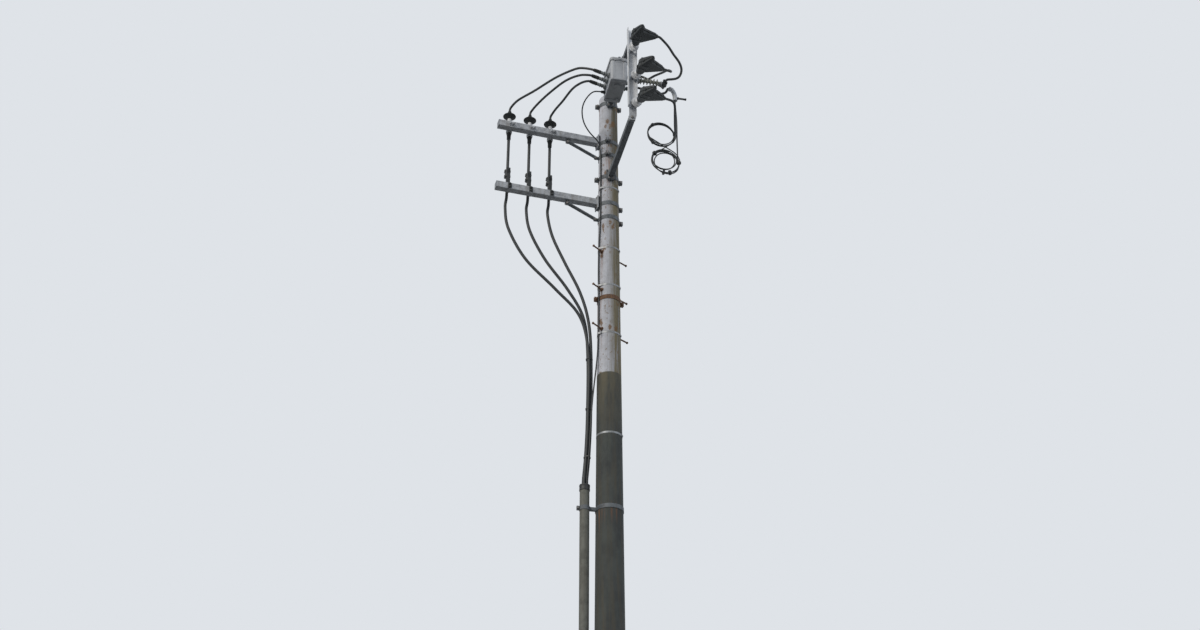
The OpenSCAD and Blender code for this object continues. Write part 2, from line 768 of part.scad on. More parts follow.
// Cable terminations on the far side of the upper side arm
term_side = -(side_w / 2 + 52);
term_body = 26;
term_top = upper_arm_z + side_w / 2 + 225;
term_foot = upper_arm_z - side_w / 2 - 70;
function term_s(i) = side_reach - term_first - (2 - i) * term_spacing;
function cable_place(i, z) = turn_z(180 + side_turn, [term_s(i), term_side, z]);

module termination(i) {
    rain_z = term_top - 70;
    color(black)
    rotate([0, 0, 180 + side_turn])
        translate([term_s(i), term_side, 0])
            rotate_extrude()
                polygon([[0, term_foot], [cable_d / 2 + 4, term_foot],
                         [cable_d / 2 + 6, term_foot + 50], [term_body, term_foot + 70],
                         [term_body, upper_arm_z + side_w / 2 + 60], [20, rain_z - 30],
                         [rain_d / 2, rain_z], [rain_d / 2, rain_z + 5], [24, rain_z + 24],
                         [22, rain_z + 40], [lead_d / 2 + 3, term_top], [0, term_top]]);
}
module termination_inner() { termination(0); }
module termination_middle() { termination(1); }
module termination_outer() { termination(2); }

// Split clamp rings on the far face of the arm, one for each termination, bolted through the arm
module termination_brackets() {
    ring_h = 40;
    ring_t = 5;
    ring_r = term_body + seat + ring_t;
    ear = 22;
    gap = 8;
    color(galvanised)
    rotate([0, 0, 180 + side_turn])
        for (i = [0 : 2]) {
            translate([term_s(i), term_side, upper_arm_z - ring_h / 2]) {
                difference() {
                    union() {
                        cylinder(r = ring_r, h = ring_h);
                        translate([-25, 0, 0]) cube([50, -term_side - side_w / 2 - seat, ring_h]);
                        translate([-gap / 2 - ring_t, -ring_r - ear, 0])
                            cube([gap + 2 * ring_t, ear + ring_t, ring_h]);
                    }
                    translate([0, 0, -over]) cylinder(r = term_body + seat, h = ring_h + 2 * over);
                    translate([-gap / 2, -ring_r - ear - over, -over])
                        cube([gap, ear + 2 * ring_t, ring_h + 2 * over]);
                }
                translate([gap / 2 + ring_t, -ring_r - ear / 2, ring_h / 2]) rotate([0, 90, 0])
                    hex_bolt(10, gap + 2 * ring_t);
            }
            translate([0, 0, upper_arm_z])
                arm_bolts([upper_arm_bolts[2 * i], upper_arm_bolts[2 * i + 1]], 56, ring_h);
        }
}

// Each drop cable hangs through a cleat on an upright bar behind the lower side arm
cleat_h = 95;
cleat_d = 56;
cleat_z = lower_arm_z + 185;
bar_t = 6;
module cable_cleats() {
    bar_w = 38;
    bar_foot = lower_arm_z - side_w / 2 + 4;
    bevel = 5;
    waist = cleat_d / 2 - 6;
    color("#33393b")
    rotate([0, 0, 180 + side_turn])
        for (i = [0 : 2]) {
            difference() {
                union() {
                    translate([term_s(i), term_side, cleat_z]) rotate_extrude()
                        polygon([[0, 0], [cleat_d / 2 - bevel, 0], [cleat_d / 2, bevel],
                                 [cleat_d / 2, 26], [waist, 32], [waist, cleat_h - 32],
                                 [cleat_d / 2, cleat_h - 26], [cleat_d / 2, cleat_h - bevel],
                                 [cleat_d / 2 - bevel, cleat_h], [0, cleat_h]]);
                    translate([term_s(i) - bar_w / 2, -side_w / 2 - seat - bar_t, bar_foot])
                        cube([bar_w, bar_t, cleat_z + cleat_h - bar_foot]);
                    translate([term_s(i) - bar_w / 2, term_side, cleat_z + 20])
                        cube([bar_w, -term_side - side_w / 2 - seat, cleat_h - 40]);
                }
                translate([term_s(i), term_side, cleat_z - over])
                    cylinder(d = cable_d + 2 * seat, h = cleat_h + 2 * over);
            }
            translate([0, 0, lower_arm_z])
                arm_bolts([lower_arm_bolts[2 * i], lower_arm_bolts[2 * i + 1]], bar_w, 62);
        }
}

// Leads and jumpers: hand-set points between their ends
function lead_end(i) = [cable_place(i, term_top + 34), cable_place(i, term_top + seat)];
lead_colour = "#2e3536";

// Places given from a point, or from a share of the way between two points
function from_point(at, places) = [for (p = places) at + p];
function between(a, b, places) =
    [for (p = places) a + p[0] * (b - a) + [p[1], p[2], p[3]]];

front_lead = [[0.1, -7, -29, 46], [0.2, -13, -51, 70], [0.4, -38, -47, 63], [0.65, -42, -11, 45],
              [0.9, -7, -19, 45]];
middle_lead = [[0.15, -20, -8, 66], [0.4, -16, -36, 96], [0.65, -25, -9, 75], [0.85, -21, 6, 38]];
rear_lead = [[0.15, -14, -3, 46], [0.4, -14, -25, 66], [0.65, -12, -2, 37], [0.85, -6, -8, 23]];

module load_lead(from, to, middle) {
    start = boot_start(from, -1);
    end = lead_end(to);
    color(lead_colour) sweep(route(start, between(start[1], end[0], middle), end, 4), lead_d);
}
module load_lead_front() { load_lead(0, 2, front_lead); }
module load_lead_middle() { load_lead(1, 1, middle_lead); }
module load_lead_rear() { load_lead(2, 0, rear_lead); }

jump_at = [clamp_x, jump_y, jump_z];
jumper_top_route = from_point(jump_at, [[-22, -257, 267], [38, -217, 211], [114, -167, 153],
                                        [146, -117, 97], [114, -77, 32]]);
module jumper_top() {
    color(lead_colour)
        sweep(route([jumper_from(0, 0), jumper_from(0, 30)], jumper_top_route,
            [[clamp_x, jump_y - clamp_l / 2 - 40, jump_z],
             [clamp_x, jump_y - clamp_l / 2 - seat, jump_z]], 4), lead_d);
}

line_front_route = from_point(jump_at, [[4, 123, 67], [-56, 223, 197]]);
line_middle_route = from_point(jump_at, [[19, -187, 7], [14, -87, 107], [-6, 93, 217],
                                         [-41, 243, 297], [-86, 358, 332]]);
line_rear_route = from_point(jump_at, [[46, 113, -3], [4, 223, 57], [-76, 373, 207]]);
function line_end(i) = [boot_start(i, 1)[1], boot_start(i, 1)[0]];

module line_lead_front() {
    color(lead_colour)
        sweep(route([[clamp_x, jump_y + clamp_l / 2 + seat, jump_z],
                     [clamp_x, jump_y + clamp_l / 2 + 40, jump_z]],
            line_front_route, line_end(0), 4), lead_d);
}
module line_lead_middle() {
    color(lead_colour)
        sweep(route([jumper_from(1, 0), jumper_from(1, 30)], line_middle_route, line_end(1), 4), lead_d);
}

// A grey sleeve joins the rear line lead to the thin wire that comes up from the coils
sleeve_route = from_point(jump_at, [[66, 63, 0], [86, 53, -15], [104, 51, -48], [116, 51, -93],
                                    [116, 51, -151]]);
sleeve_d = 44;
module coil_sleeve() {
    last = len(sleeve_route) - 1;
    color("#b9bfc6")
        sweep(concat([sleeve_route[0]], smooth([for (i = [1 : last - 1]) sleeve_route[i]], 3),
            [sleeve_route[last]]), sleeve_d, 12);
    color("#2c3032")
    translate(jump_at + [126, 51, -117]) rotate([0, 90, 0]) cylinder(d = 22, h = 106);
}

sleeve_ahead = unit(sleeve_route[0] - sleeve_route[1]);
sleeve_start = sleeve_route[0] + seat * sleeve_ahead;
module line_lead_rear() {
    color(lead_colour)
        sweep(route([sleeve_start, sleeve_start + 26 * sleeve_ahead], line_rear_route, line_end(2), 4),
            lead_d);
}

control_d = 14;
control_turn = 214;
function on_pole(z, a, away) = turn_z(a, [pole_r(z) + away, 0, z]);
clear_of_bands = seat + band_t + 0.7 + control_d / 2;
control_route = from_point(gland, [[-118, 47, 18], [-178, 117, -41], [-191, 207, -101],
                                   [-153, 307, -171], [-73, 402, -216]]);
riser_bundle_r = 18.6;
control_mouth = [-riser_out + 16, -27];
module control_cable() {
    color("#3a4042")
        sweep(concat(
            route([gland + [-gland_l - seat, 0, 0], gland + [-gland_l - 20, 0, 0]],
                concat(control_route,
                    [on_pole(pole_h - 635, control_turn + 2, 52),
                     on_pole(pole_h - 710, control_turn, clear_of_bands + 12),
                     on_pole(pole_h - 810, control_turn, clear_of_bands + 1),
                     on_pole(pole_h - 1000, control_turn, clear_of_bands),
                     on_pole(pole_h - 1300, control_turn, clear_of_bands),
                     on_pole(pole_h - 1650, control_turn - 2, clear_of_bands),
                     on_pole(pole_h - 1880, 206, clear_of_bands + 2),
                     on_pole(pole_h - 2200, 203, clear_of_bands + 2),
                     on_pole(step_band_z, 206, clear_of_bands + 1),
                     on_pole(fall(0.715), 202, clear_of_bands + 1),
                     [-176, -58, fall(0.417)], [-200, -44, fall(0.169)]]),
                [[control_mouth[0], control_mouth[1], riser_h + 90],
                 [control_mouth[0], control_mouth[1], riser_h - 100]], 3),
            [[control_mouth[0], control_mouth[1], 20]]),
            control_d, 8);
}

// The three drop cables run from their cleats to a bundle beside the pole and down the riser: a
// place is a share of the way out to the termination, then Y, then the height from the lower arm
bundle_x = -riser_out + 27;
function tail(i, places) = [for (p = places)
    [bundle_x + p[0] * (cable_place(i, 0)[0] - bundle_x), p[1], lower_arm_z + p[2]]];
cable_tails = [
    concat(tail(0, [[1.021, 36, -180], [0.894, 30, -440], [0.575, 20, -750], [0.208, 6, -1080],
                    [0, 0, -1400]]),
        [[bundle_x + 29, 0, fall(0.69)], [bundle_x + 27, 0, fall(0.367)],
         [bundle_x + 13, 0, fall(0.169)]]),
    concat(tail(1, [[1.017, 18, -180], [0.949, 18, -420], [0.694, 18, -740], [0.327, 17, -1060],
                    [0.072, 16, -1370]]),
        [[bundle_x, 16, fall(0.69)], [bundle_x - 1, 16, fall(0.367)],
         [bundle_x - 15, 16, fall(0.169)]]),
    concat(tail(2, [[1.012, -4, -190], [0.965, -6, -440], [0.752, -10, -780], [0.397, -14, -1090],
                    [0.101, -16, -1380]]),
        [[bundle_x, -16, fall(0.69)], [bundle_x - 1, -16, fall(0.367)],
         [bundle_x - 15, -16, fall(0.169)]])
];
cable_mouths = [[-riser_out + riser_bundle_r, 0], [-riser_out - 9, 16], [-riser_out - 9, -16]];
module drop_cable(i) {
    m = cable_mouths[i];
    color("#3a4042")
        sweep(concat(
            route([cable_place(i, term_foot - seat), cable_place(i, cleat_z + cleat_h + 40)],
                concat([cable_place(i, cleat_z - 20), cable_place(i, lower_arm_z - side_w / 2 - 20)],
                    cable_tails[i]),
                [[m[0], m[1], riser_h + 60], [m[0], m[1], riser_h - 100]], 3),
            [[m[0], m[1], 20]]), cable_d);
}
module drop_cable_inner() { drop_cable(0); }
module drop_cable_middle() { drop_cable(1); }
module drop_cable_outer() { drop_cable(2); }

// Spare wire, wound in two coils that hang below the bottom cover
coil_d = 292;
coil_wire = [11, 13];
coil_x = [272, 306];
coil_z = [wire_z(2) - 348, wire_z(2) - 665];
coil_y = -d_reach - 42;
coil_at = [coil_x[0], coil_y, coil_z[0]];
module spare_coils() {
    color("#2e3536")
    for (k = [0, 1])
        translate([coil_x[k], coil_y, coil_z[k]]) rotate([90, 0, 0])
            rotate_extrude() translate([coil_d / 2 - coil_wire[0], 0])
                polygon([for (a = [0 : 45 : 315]) [coil_wire[0] * cos(a), coil_wire[1] * sin(a)]]);
}

feed_d = 24;
return_d = 14;
feed_y = coil_y - coil_wire[1] - 0.5 - feed_d / 2;
return_y = coil_y + coil_wire[1] + 0.5 + return_d / 2;
feed_side = feed_y - coil_y;
return_side = return_y - coil_y;
feed_route = from_point(coil_at, [[100, -150, 298], [126, -70, 208], [136, feed_side, 128],
                                  [137, feed_side, 38], [128, feed_side, -42]]);
return_route = from_point(coil_at, [[174, 58, 328], [174, 45, 188], [168, 30, 48],
                                    [165, return_side, -112], [165, return_side, -292]]);
module coil_feed() {
    color(black)
        sweep(concat([jumper_from(2, 0)], smooth(concat([jumper_from(2, 24)], feed_route), 4)), feed_d);
}
module coil_return() {
    sleeve_foot = sleeve_route[len(sleeve_route) - 1];
    color("#2e3536")
        sweep(concat([sleeve_foot + [0, 0, -seat]],
            smooth(concat([sleeve_foot + [0, 0, -40]], return_route), 4)), return_d, 8);
}

// Riser on the pole's left, with its mouth seal and stand-off clamps
module riser_conduit() {
    color("#8a8880")
    translate([-riser_out, 0, 0])
        difference() {
            cylinder(d = riser_d, h = riser_h);
            translate([0, 0, -over]) cylinder(d = riser_d - 2 * riser_wall, h = riser_h + 2 * over);
        }
}

module riser_mouth() {
    collar = 50;
    color("#3b4143")
    translate([-riser_out, 0, riser_h + seat])
        difference() {
            translate([0, 0, -collar]) cylinder(d = riser_d + 10, h = collar + 8);
            translate([0, 0, -collar - over]) cylinder(d = riser_d + 2 * seat, h = collar + over);
            translate([0, 0, -over]) cylinder(d = riser_d - 2 * riser_wall - 2, h = 20);
        }
}

riser_pitch = 1350;
module riser_bands() {
    band_w = 40;
    arm_w = 28;
    arm_h = 32;
    ring_t = 4;
    ring_r = riser_d / 2 + seat + ring_t;
    ear = 24;
    gap = 8;
    color(galvanised)
    for (z = [riser_h - 225 : -riser_pitch : 600]) {
        pole_band(z, [75], band_w);
        translate([-riser_out, 0, z - band_w / 2]) {
            difference() {
                union() {
                    cylinder(r = ring_r, h = band_w);
                    translate([0, -arm_w / 2, (band_w - arm_h) / 2])
                        cube([riser_out - weld_r(z), arm_w, arm_h]);
                    translate([-ring_r - ear, -gap / 2 - ring_t, 0])
                        cube([ear + ring_t, gap + 2 * ring_t, band_w]);
                }
                translate([0, 0, -over]) cylinder(d = riser_d + 2 * seat, h = band_w + 2 * over);
                translate([-ring_r - ear - over, -gap / 2, -over])
                    cube([ear + 2 * ring_t, gap, band_w + 2 * over]);
            }
            translate([-ring_r - ear / 2, -gap / 2 - ring_t, band_w / 2]) rotate([90, 0, 0])
                hex_bolt(10, gap + 2 * ring_t);
        }
    }
}

module cable_straps() {
    strap_h = 19;
    strap_t = 1.2;
    color("#d5d9dd")
    for (z = [riser_h + 523, pole_h - 2928, pole_h - 2380, pole_h - 1940, pole_h - 1200])
        pole_wrap(z, strap_h, strap_t);
}

module step_bolts() {
    color("#8d8a84")
    for (k = [0 : 2], a = [220, 32]) {
        z = pole_h - step_drop + k * step_pitch;
        rotate([0, 0, a])
            translate([pole_r(z) + seat, 0, z]) rotate([0, 90, 0]) {
                cylinder(d = step_d * 1.9, h = 10, $fn = 6);
                cylinder(d = step_d, h = step_l);
                translate([0, 0, step_l - 8]) cylinder(d = step_d * 1.5, h = 8);
            }
    }
}

module step_band() {
    color("#8f8a80") pole_band(step_band_z, [10, 190]);
}

module pole_shaft() {
    color(concrete)
    cylinder(r1 = pole_r(0), r2 = pole_r(pole_h), h = pole_h);
}

module pole_cap() {
    r = pole_r(pole_h) - 3;
    color("#8f8e8a")
    translate([0, 0, pole_h]) rotate_extrude()
        polygon([[0, 0], [r, 0], [r, 8], [r * 0.7, 0.75 * cap_h], [r * 0.3, cap_h], [0, cap_h]]);
}

pole_shaft();
pole_cap();
step_bolts();
step_band();
upper_side_arm();
lower_side_arm();
side_arm_caps();
upper_arm_tie();
lower_arm_tie();
upper_arm_bands();
lower_arm_bands();
d_upper_beam();
d_lower_beam();
d_upright();
d_lower_joint();
d_upper_band();
d_lower_band();
strain_insulator_top();
strain_insulator_middle();
strain_insulator_bottom();
clamp_cover_top();
clamp_cover_middle();
clamp_cover_bottom();
jumper_insulator();
jumper_clamp();
jumper_top();
switch_tank();
switch_lid();
switch_hangers();
load_bushings();
line_bushings();
load_boots();
line_boots();
control_gland();
load_lead_front();
load_lead_middle();
load_lead_rear();
line_lead_front();
line_lead_middle();
line_lead_rear();
termination_outer();
termination_middle();
termination_inner();
termination_brackets();
drop_cable_outer();
drop_cable_middle();
drop_cable_inner();
cable_cleats();
control_cable();
spare_coils();
coil_feed();
coil_return();
coil_sleeve();
riser_conduit();
riser_mouth();
riser_bands();
cable_straps();
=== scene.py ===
"""Looks of a concrete utility pole with a cable head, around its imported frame. Metres, +Z up."""
import math
import random
from contextlib import contextmanager

import bmesh
import bpy
from mathutils import Matrix, Vector


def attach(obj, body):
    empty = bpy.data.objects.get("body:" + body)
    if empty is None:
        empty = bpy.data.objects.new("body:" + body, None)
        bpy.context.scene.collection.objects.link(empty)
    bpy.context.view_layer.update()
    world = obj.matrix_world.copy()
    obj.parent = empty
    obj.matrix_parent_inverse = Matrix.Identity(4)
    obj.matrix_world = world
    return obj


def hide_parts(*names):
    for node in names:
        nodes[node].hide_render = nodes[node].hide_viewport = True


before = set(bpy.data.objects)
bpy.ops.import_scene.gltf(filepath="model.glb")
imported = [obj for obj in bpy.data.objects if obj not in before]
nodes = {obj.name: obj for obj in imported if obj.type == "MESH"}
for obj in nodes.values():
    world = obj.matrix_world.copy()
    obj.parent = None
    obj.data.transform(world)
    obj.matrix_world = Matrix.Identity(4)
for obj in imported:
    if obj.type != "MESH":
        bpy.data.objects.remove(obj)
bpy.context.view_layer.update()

scene = bpy.context.scene
MM = 0.001

# ---- Sizes that the pieces share with the frame, in mm, and turns in degrees ----
POLE_H, POLE_TOP, TAPER = 12500, 190, 75
UPPER_ARM, LOWER_ARM, SIDE_W = 11920, 11140, 75
D_UPPER, D_LOWER, D_REACH, BEAM_W = 12400, 11440, 1078, 60
WIRE_Y, WIRE_Z = -1083.6, (12270, 11925, 11580)
WIRE_TURN, WIRE_TILT = (0, 13, 15), (8, 11, 13)
# where a clamp cover starts along its wire, and where on the cover the jumper comes out
COVER_START, OUTLET_X, OUTLET_Y = 156.3, 168, 176
TERM_S, TERM_SIDE = (608, 827, 1046), -89.5
SWITCH_X, SWITCH_Y, SWITCH_FOOT, SWITCH_TOP = -82, -705, 12055, 12340
HALF_W, HALF_L = 85, 182.5
BUSHING_Z, BUSHING_RISE = 12169, 16
RISER_X, RISER_H = -232, 7960
CLAMPS = [7735 - 1350 * k for k in range(6)]
STEPS, STEP_TURNS, STEP_BAND = (9615, 10065, 10515), (220, 32), 9975
# each band's height and where its bolted ears are; a bolt's distance from the pole's face
BANDS = [(D_UPPER, (0, 180)), (11887, (253,)), (11715, (253,)), (D_LOWER, (0, 180)),
         (11107, (5,)), (10935, (5,)), (STEP_BAND, (10, 190))] + [(z, (75,)) for z in CLAMPS]
EAR_BOLT = 23.1
LEAD_D, THIN_D, CABLE_D, SPARE_D = 24, 14, 30, 11


def pole_r(z):
    """Radius of the pole at a height."""
    return (POLE_TOP + (POLE_H - z) / TAPER) / 2


def mm(*v):
    return Vector(v) * MM


def shift(x=0, y=0, z=0):
    return Matrix.Translation(mm(x, y, z))


def spin(degrees, axis="Z"):
    return Matrix.Rotation(math.radians(degrees), 4, axis)


SIDE, D_ARM = spin(185), spin(-90)
ALONG_X, ALONG_Y, BACK_Y = spin(90, "Y"), spin(-90, "X"), spin(90, "X")

# ---- Camera at the photograph's place and angle ----
FOCAL_PX, PITCH = 962, math.radians(39.4)
camera_data = bpy.data.cameras.new("camera")
camera_data.sensor_width, camera_data.sensor_fit, camera_data.lens = 36, "HORIZONTAL", 48.5
camera = bpy.data.objects.new("camera", camera_data)
scene.collection.objects.link(camera)
ahead = Vector((0.2062, 0.9785, 0)) * math.cos(PITCH) + Vector((0, 0, math.sin(PITCH)))
right = Vector((0.9785, -0.2062, 0))
# the middle of what the photograph shows of the pole, in pixels from the middle of its frame
aim = ahead + right * (5 / FOCAL_PX) - right.cross(ahead) * (127 / FOCAL_PX)
camera.location = (-2.925, -13.068, 1.5)
camera.rotation_mode = "QUATERNION"
camera.rotation_quaternion = aim.to_track_quat("-Z", "Y")
bpy.context.scene.camera = camera


def linear(hex_code):
    """The linear colour of an sRGB hex value."""
    out = []
    for i in (1, 3, 5):
        c = int(hex_code[i:i + 2], 16) / 255
        out.append(c / 12.92 if c <= 0.04045 else ((c + 0.055) / 1.055) ** 2.4)
    return (*out, 1)


def add(tree, kind, given):
    """Adds a node, or fills one that is there. Each key is a socket or an attribute: a node, by
    its first output, or a socket is linked to it, and a value is set, hex values as colours."""
    node = tree.nodes.new("ShaderNode" + kind) if isinstance(kind, str) else kind
    for key, value in given.items():
        if isinstance(value, bpy.types.Node):
            value = value.outputs[0]
        if isinstance(value, str) and value.startswith("#"):
            value = linear(value)
        if isinstance(value, bpy.types.NodeSocket):
            tree.links.new(value, node.inputs[key])
        elif isinstance(key, int) or key in node.inputs:
            node.inputs[key].default_value = value
        else:
            setattr(node, key, value)
    return node


def backdrop_rays(tree):
    """1 for rays that find the pale backdrop: the eye's, mirrored ones, those through glass."""
    path = add(tree, "LightPath", {})
    share = path.outputs["Is Camera Ray"]
    for kind in ("Is Glossy Ray", "Is Transmission Ray"):
        share = add(tree, "Math", {"operation": "MAXIMUM", 0: share, 1: path.outputs[kind]})
    return share


def material(name):
    """A new material, its node tree and its shader."""
    mat = bpy.data.materials.new(name)
    mat.use_nodes = True
    return mat, mat.node_tree, mat.node_tree.nodes["Principled BSDF"]


# ---- Floor, backdrop and light ----
scene.view_settings.view_transform = "Standard"
world = bpy.data.worlds.new("sky")
world.use_nodes = True
scene.world = world
tree = world.node_tree
tree.nodes.clear()
sky = add(tree, "Background", {"Color": "#eef2f8", "Strength": 0.62})
shown = add(tree, "Background", {"Color": "#dfe3e8", "Strength": 1.0})
both = add(tree, "MixShader", {"Fac": backdrop_rays(tree), 1: sky, 2: shown})
add(tree, "OutputWorld", {"Surface": both})

bpy.ops.object.select_all(action="DESELECT")
bpy.ops.mesh.primitive_plane_add(size=160, location=(0, 0, -0.001))
floor = bpy.context.object
floor.name = "studio_floor"
paint, tree, shader = material("studio_floor_paint")
# pale to the eye; what it throws back up at the part is only what dull ground would
floor_tone = add(tree, "MixRGB", {"Fac": backdrop_rays(tree), "Color1": "#5d5c58",
                                  "Color2": "#d9dce0"})
add(tree, shader, {"Base Color": floor_tone, "Roughness": 0.9})
floor.data.materials.append(paint)

for name, strength, softness, direction, colour in (
        ("key_light", 1.75, 14, (0.72, 0.6, -0.55), "#fff7ec"),
        ("fill_light", 0.4, 60, (-0.75, 0.45, -0.5), "#eaf1ff")):
    sun = bpy.data.lights.new(name, "SUN")
    sun.energy, sun.angle, sun.color = strength, math.radians(softness), linear(colour)[:3]
    lamp = bpy.data.objects.new(name, sun)
    lamp.rotation_mode = "QUATERNION"
    lamp.rotation_quaternion = Vector(direction).to_track_quat("-Z", "Y")
    lamp.location = (0, 0, 20)
    scene.collection.objects.link(lamp)

# ---- Finishes ----


def surface(name, tones, sizes, rough, metal=0.0, share=0.5, soil=0.35, coat=0.0):
    """A weathered finish: two tones in patches, dirt in upright runs, and a fine relief. Tones
    are the base's, the patches' and the dirt's. Sizes, in mm, are the width of patches, runs
    and grain and the height of the relief. Share is the patches' and soil the dirt's."""
    mat, tree, shader = material(name)
    base, second, dirt = tones.split()
    patch_w, run_w, grain_w, height = [size * MM for size in sizes]
    place = add(tree, "TexCoord", {}).outputs["Object"]
    patch = add(tree, "TexNoise", {"Scale": 1 / patch_w, "Detail": 5.0, "Roughness": 0.62,
                                   "Vector": place})
    blend = add(tree, "MapRange", {"From Min": 0.62 - 0.3 * share, "From Max": 0.78 - 0.3 * share,
                                   "Value": patch})
    two = add(tree, "MixRGB", {"Fac": blend, "Color1": base, "Color2": second})
    upright = add(tree, "Mapping", {"Scale": (1, 1, 0.08), "Vector": place})
    runs = add(tree, "TexNoise", {"Scale": 1 / run_w, "Detail": 4.0, "Roughness": 0.6,
                                  "Vector": upright})
    amount = add(tree, "MapRange", {"From Min": 0.45, "From Max": 0.75, "To Max": soil,
                                    "Value": runs})
    soiled = add(tree, "MixRGB", {"Fac": amount, "Color1": two, "Color2": dirt})
    gloss = add(tree, "MapRange", {"To Min": rough - 0.1, "To Max": rough + 0.1, "Value": patch})
    grain = add(tree, "TexNoise", {"Scale": 1 / grain_w, "Detail": 2.0, "Vector": place})
    relief = add(tree, "Bump", {"Distance": height, "Strength": 1.0, "Height": grain})
    add(tree, shader, {"Metallic": metal, "Coat Weight": coat, "Coat Roughness": 0.2,
                       "Base Color": soiled, "Roughness": gloss, "Normal": relief})
    return mat


# Hot-dip galvanised steel: dull zinc with patches some 45 mm wide and grey runs from old rain
zinc = surface("hot_dip_galvanised_steel", "#a9aeb4 #8c9198 #746e63", (45, 30, 4, 0.15), 0.66,
               metal=0.12, soil=0.5)
# The same zinc made paler for the upright: a painted highlight for its lit face
lit_zinc = surface("galvanised_steel_painted_lit", "#d3d7dc #bfc4ca #8d8a83", (60, 30, 4, 0.15), 0.6,
                    metal=0.08, soil=0.4)
# The same zinc, darker and matt: painted shade for the beams, ties and bands, which show their
# shaded faces
shaded_zinc = surface("galvanised_steel_painted_shade", "#60666b #4b5055 #36342f", (50, 30, 4, 0.15),
                    0.66, metal=0.15, soil=0.5)
# Steel whose zinc is gone: brown rust with darker scabs
rust = surface("rusted_steel", "#6b5240 #4a372b #86603c", (14, 12, 2.5, 0.4), 0.85, metal=0.1,
               share=0.6, soil=0.6)
# Electroplated nuts and bolts, dulled brown at their edges
plated = surface("zinc_plated_bolts", "#8b8d8e #6d6257 #5b4a3b", (9, 8, 2, 0.1), 0.5, metal=0.5,
                 share=0.55, soil=0.5)
# Cold-rolled stainless strip, still bright
stainless = surface("stainless_steel_strip", "#8b8f93 #75797d #6f6b62", (30, 25, 1.5, 0.03), 0.5,
                    metal=0.3, soil=0.5)
# Stoved light-grey paint on sheet steel: even, slightly glossy, with rain runs
enamel = surface("stoved_grey_paint", "#a6abb1 #9a9fa6 #6f7071", (120, 45, 2, 0.03), 0.5,
                 share=0.4)
# Glazed electrical porcelain, white under a film of dust
porcelain = surface("white_glazed_porcelain", "#dfe2e6 #cfd2d6 #9b9a93", (35, 18, 6, 0.02), 0.22,
                    coat=0.3)
# Grey-glazed porcelain, mottled with dust
grey_porcelain = surface("grey_glazed_porcelain", "#8f938c #6d7069 #4b4a44", (18, 10, 5, 0.04),
                         0.35, share=0.6, soil=0.5, coat=0.2)
# Injection-moulded black polyethylene, chalked a little by the sun
cover_black = surface("moulded_black_polyethylene", "#1d2224 #282e31 #4c4e4b",
                      (60, 25, 1.5, 0.08), 0.6, share=0.55, soil=0.3)
# Moulded black nylon of glands, cleats and small clamps: near-black, matt, greyed by dust
nylon = surface("moulded_black_nylon", "#202426 #191d1e #474843", (25, 15, 1.5, 0.06), 0.55)
# Moulded synthetic rubber: matt black-grey, dusty
rubber = surface("moulded_black_rubber", "#191d1e #232728 #484842", (22, 14, 1.2, 0.08), 0.8)
# Moulded grey silicone rubber of the bushings: matt, with soot between the fins
silicone = surface("grey_silicone_rubber", "#71787b #5d6366 #45453f", (22, 12, 1.5, 0.06), 0.6,
                   soil=0.4)
# Extruded cross-linked polyethylene sheath: smooth black-grey with a dusty bloom
sheath = surface("extruded_polyethylene_sheath", "#1a1f21 #24292b #43453f", (70, 35, 3, 0.05),
                 0.55, soil=0.3)
# Extruded grey PVC sleeve: pale, bleached by the sun
sleeve_grey = surface("grey_pvc_sleeve", "#b4bac1 #a2a8ae #77756e", (30, 20, 2, 0.06), 0.5)
# Drawn galvanised pipe: brown-grey, matt with street dust
pipe = surface("weathered_galvanised_pipe", "#62645e #50524d #4a443b", (90, 26, 5, 0.2), 0.7,
               metal=0.1, soil=0.55)
# Moulded grey polyethylene of the arms' caps: matt, with faint grey clouds
cap_plastic = surface("moulded_grey_polyethylene", "#83888f #757a80 #55554f", (25, 15, 1.5, 0.06),
                      0.6)
# Trowelled mortar of the pole's cap: smooth, dull and a little brown
mortar = surface("trowelled_mortar", "#9c9b98 #86847f #6d6a62", (40, 30, 4, 0.6), 0.9, soil=0.4)

# where the photograph shows rust spots on the pole: place and size in m
RUST_SPOTS = ((-0.032, -0.092, 12.149, 0.022), (0.031, -0.092, 12.127, 0.030),
              (-0.049, -0.085, 12.095, 0.018), (-0.048, -0.090, 11.481, 0.022),
              (0.032, -0.097, 11.467, 0.026), (-0.073, -0.077, 10.822, 0.022),
              (-0.007, -0.106, 10.864, 0.018), (0.025, -0.103, 10.813, 0.022),
              (-0.102, -0.037, 10.547, 0.024), (-0.065, -0.087, 10.547, 0.024),
              (-0.085, -0.068, 10.481, 0.028), (-0.097, -0.059, 9.711, 0.026),
              (-0.089, -0.071, 9.673, 0.020), (-0.017, -0.113, 9.623, 0.022),
              (0.042, -0.106, 9.608, 0.022), (-0.108, -0.026, 10.124, 0.034))


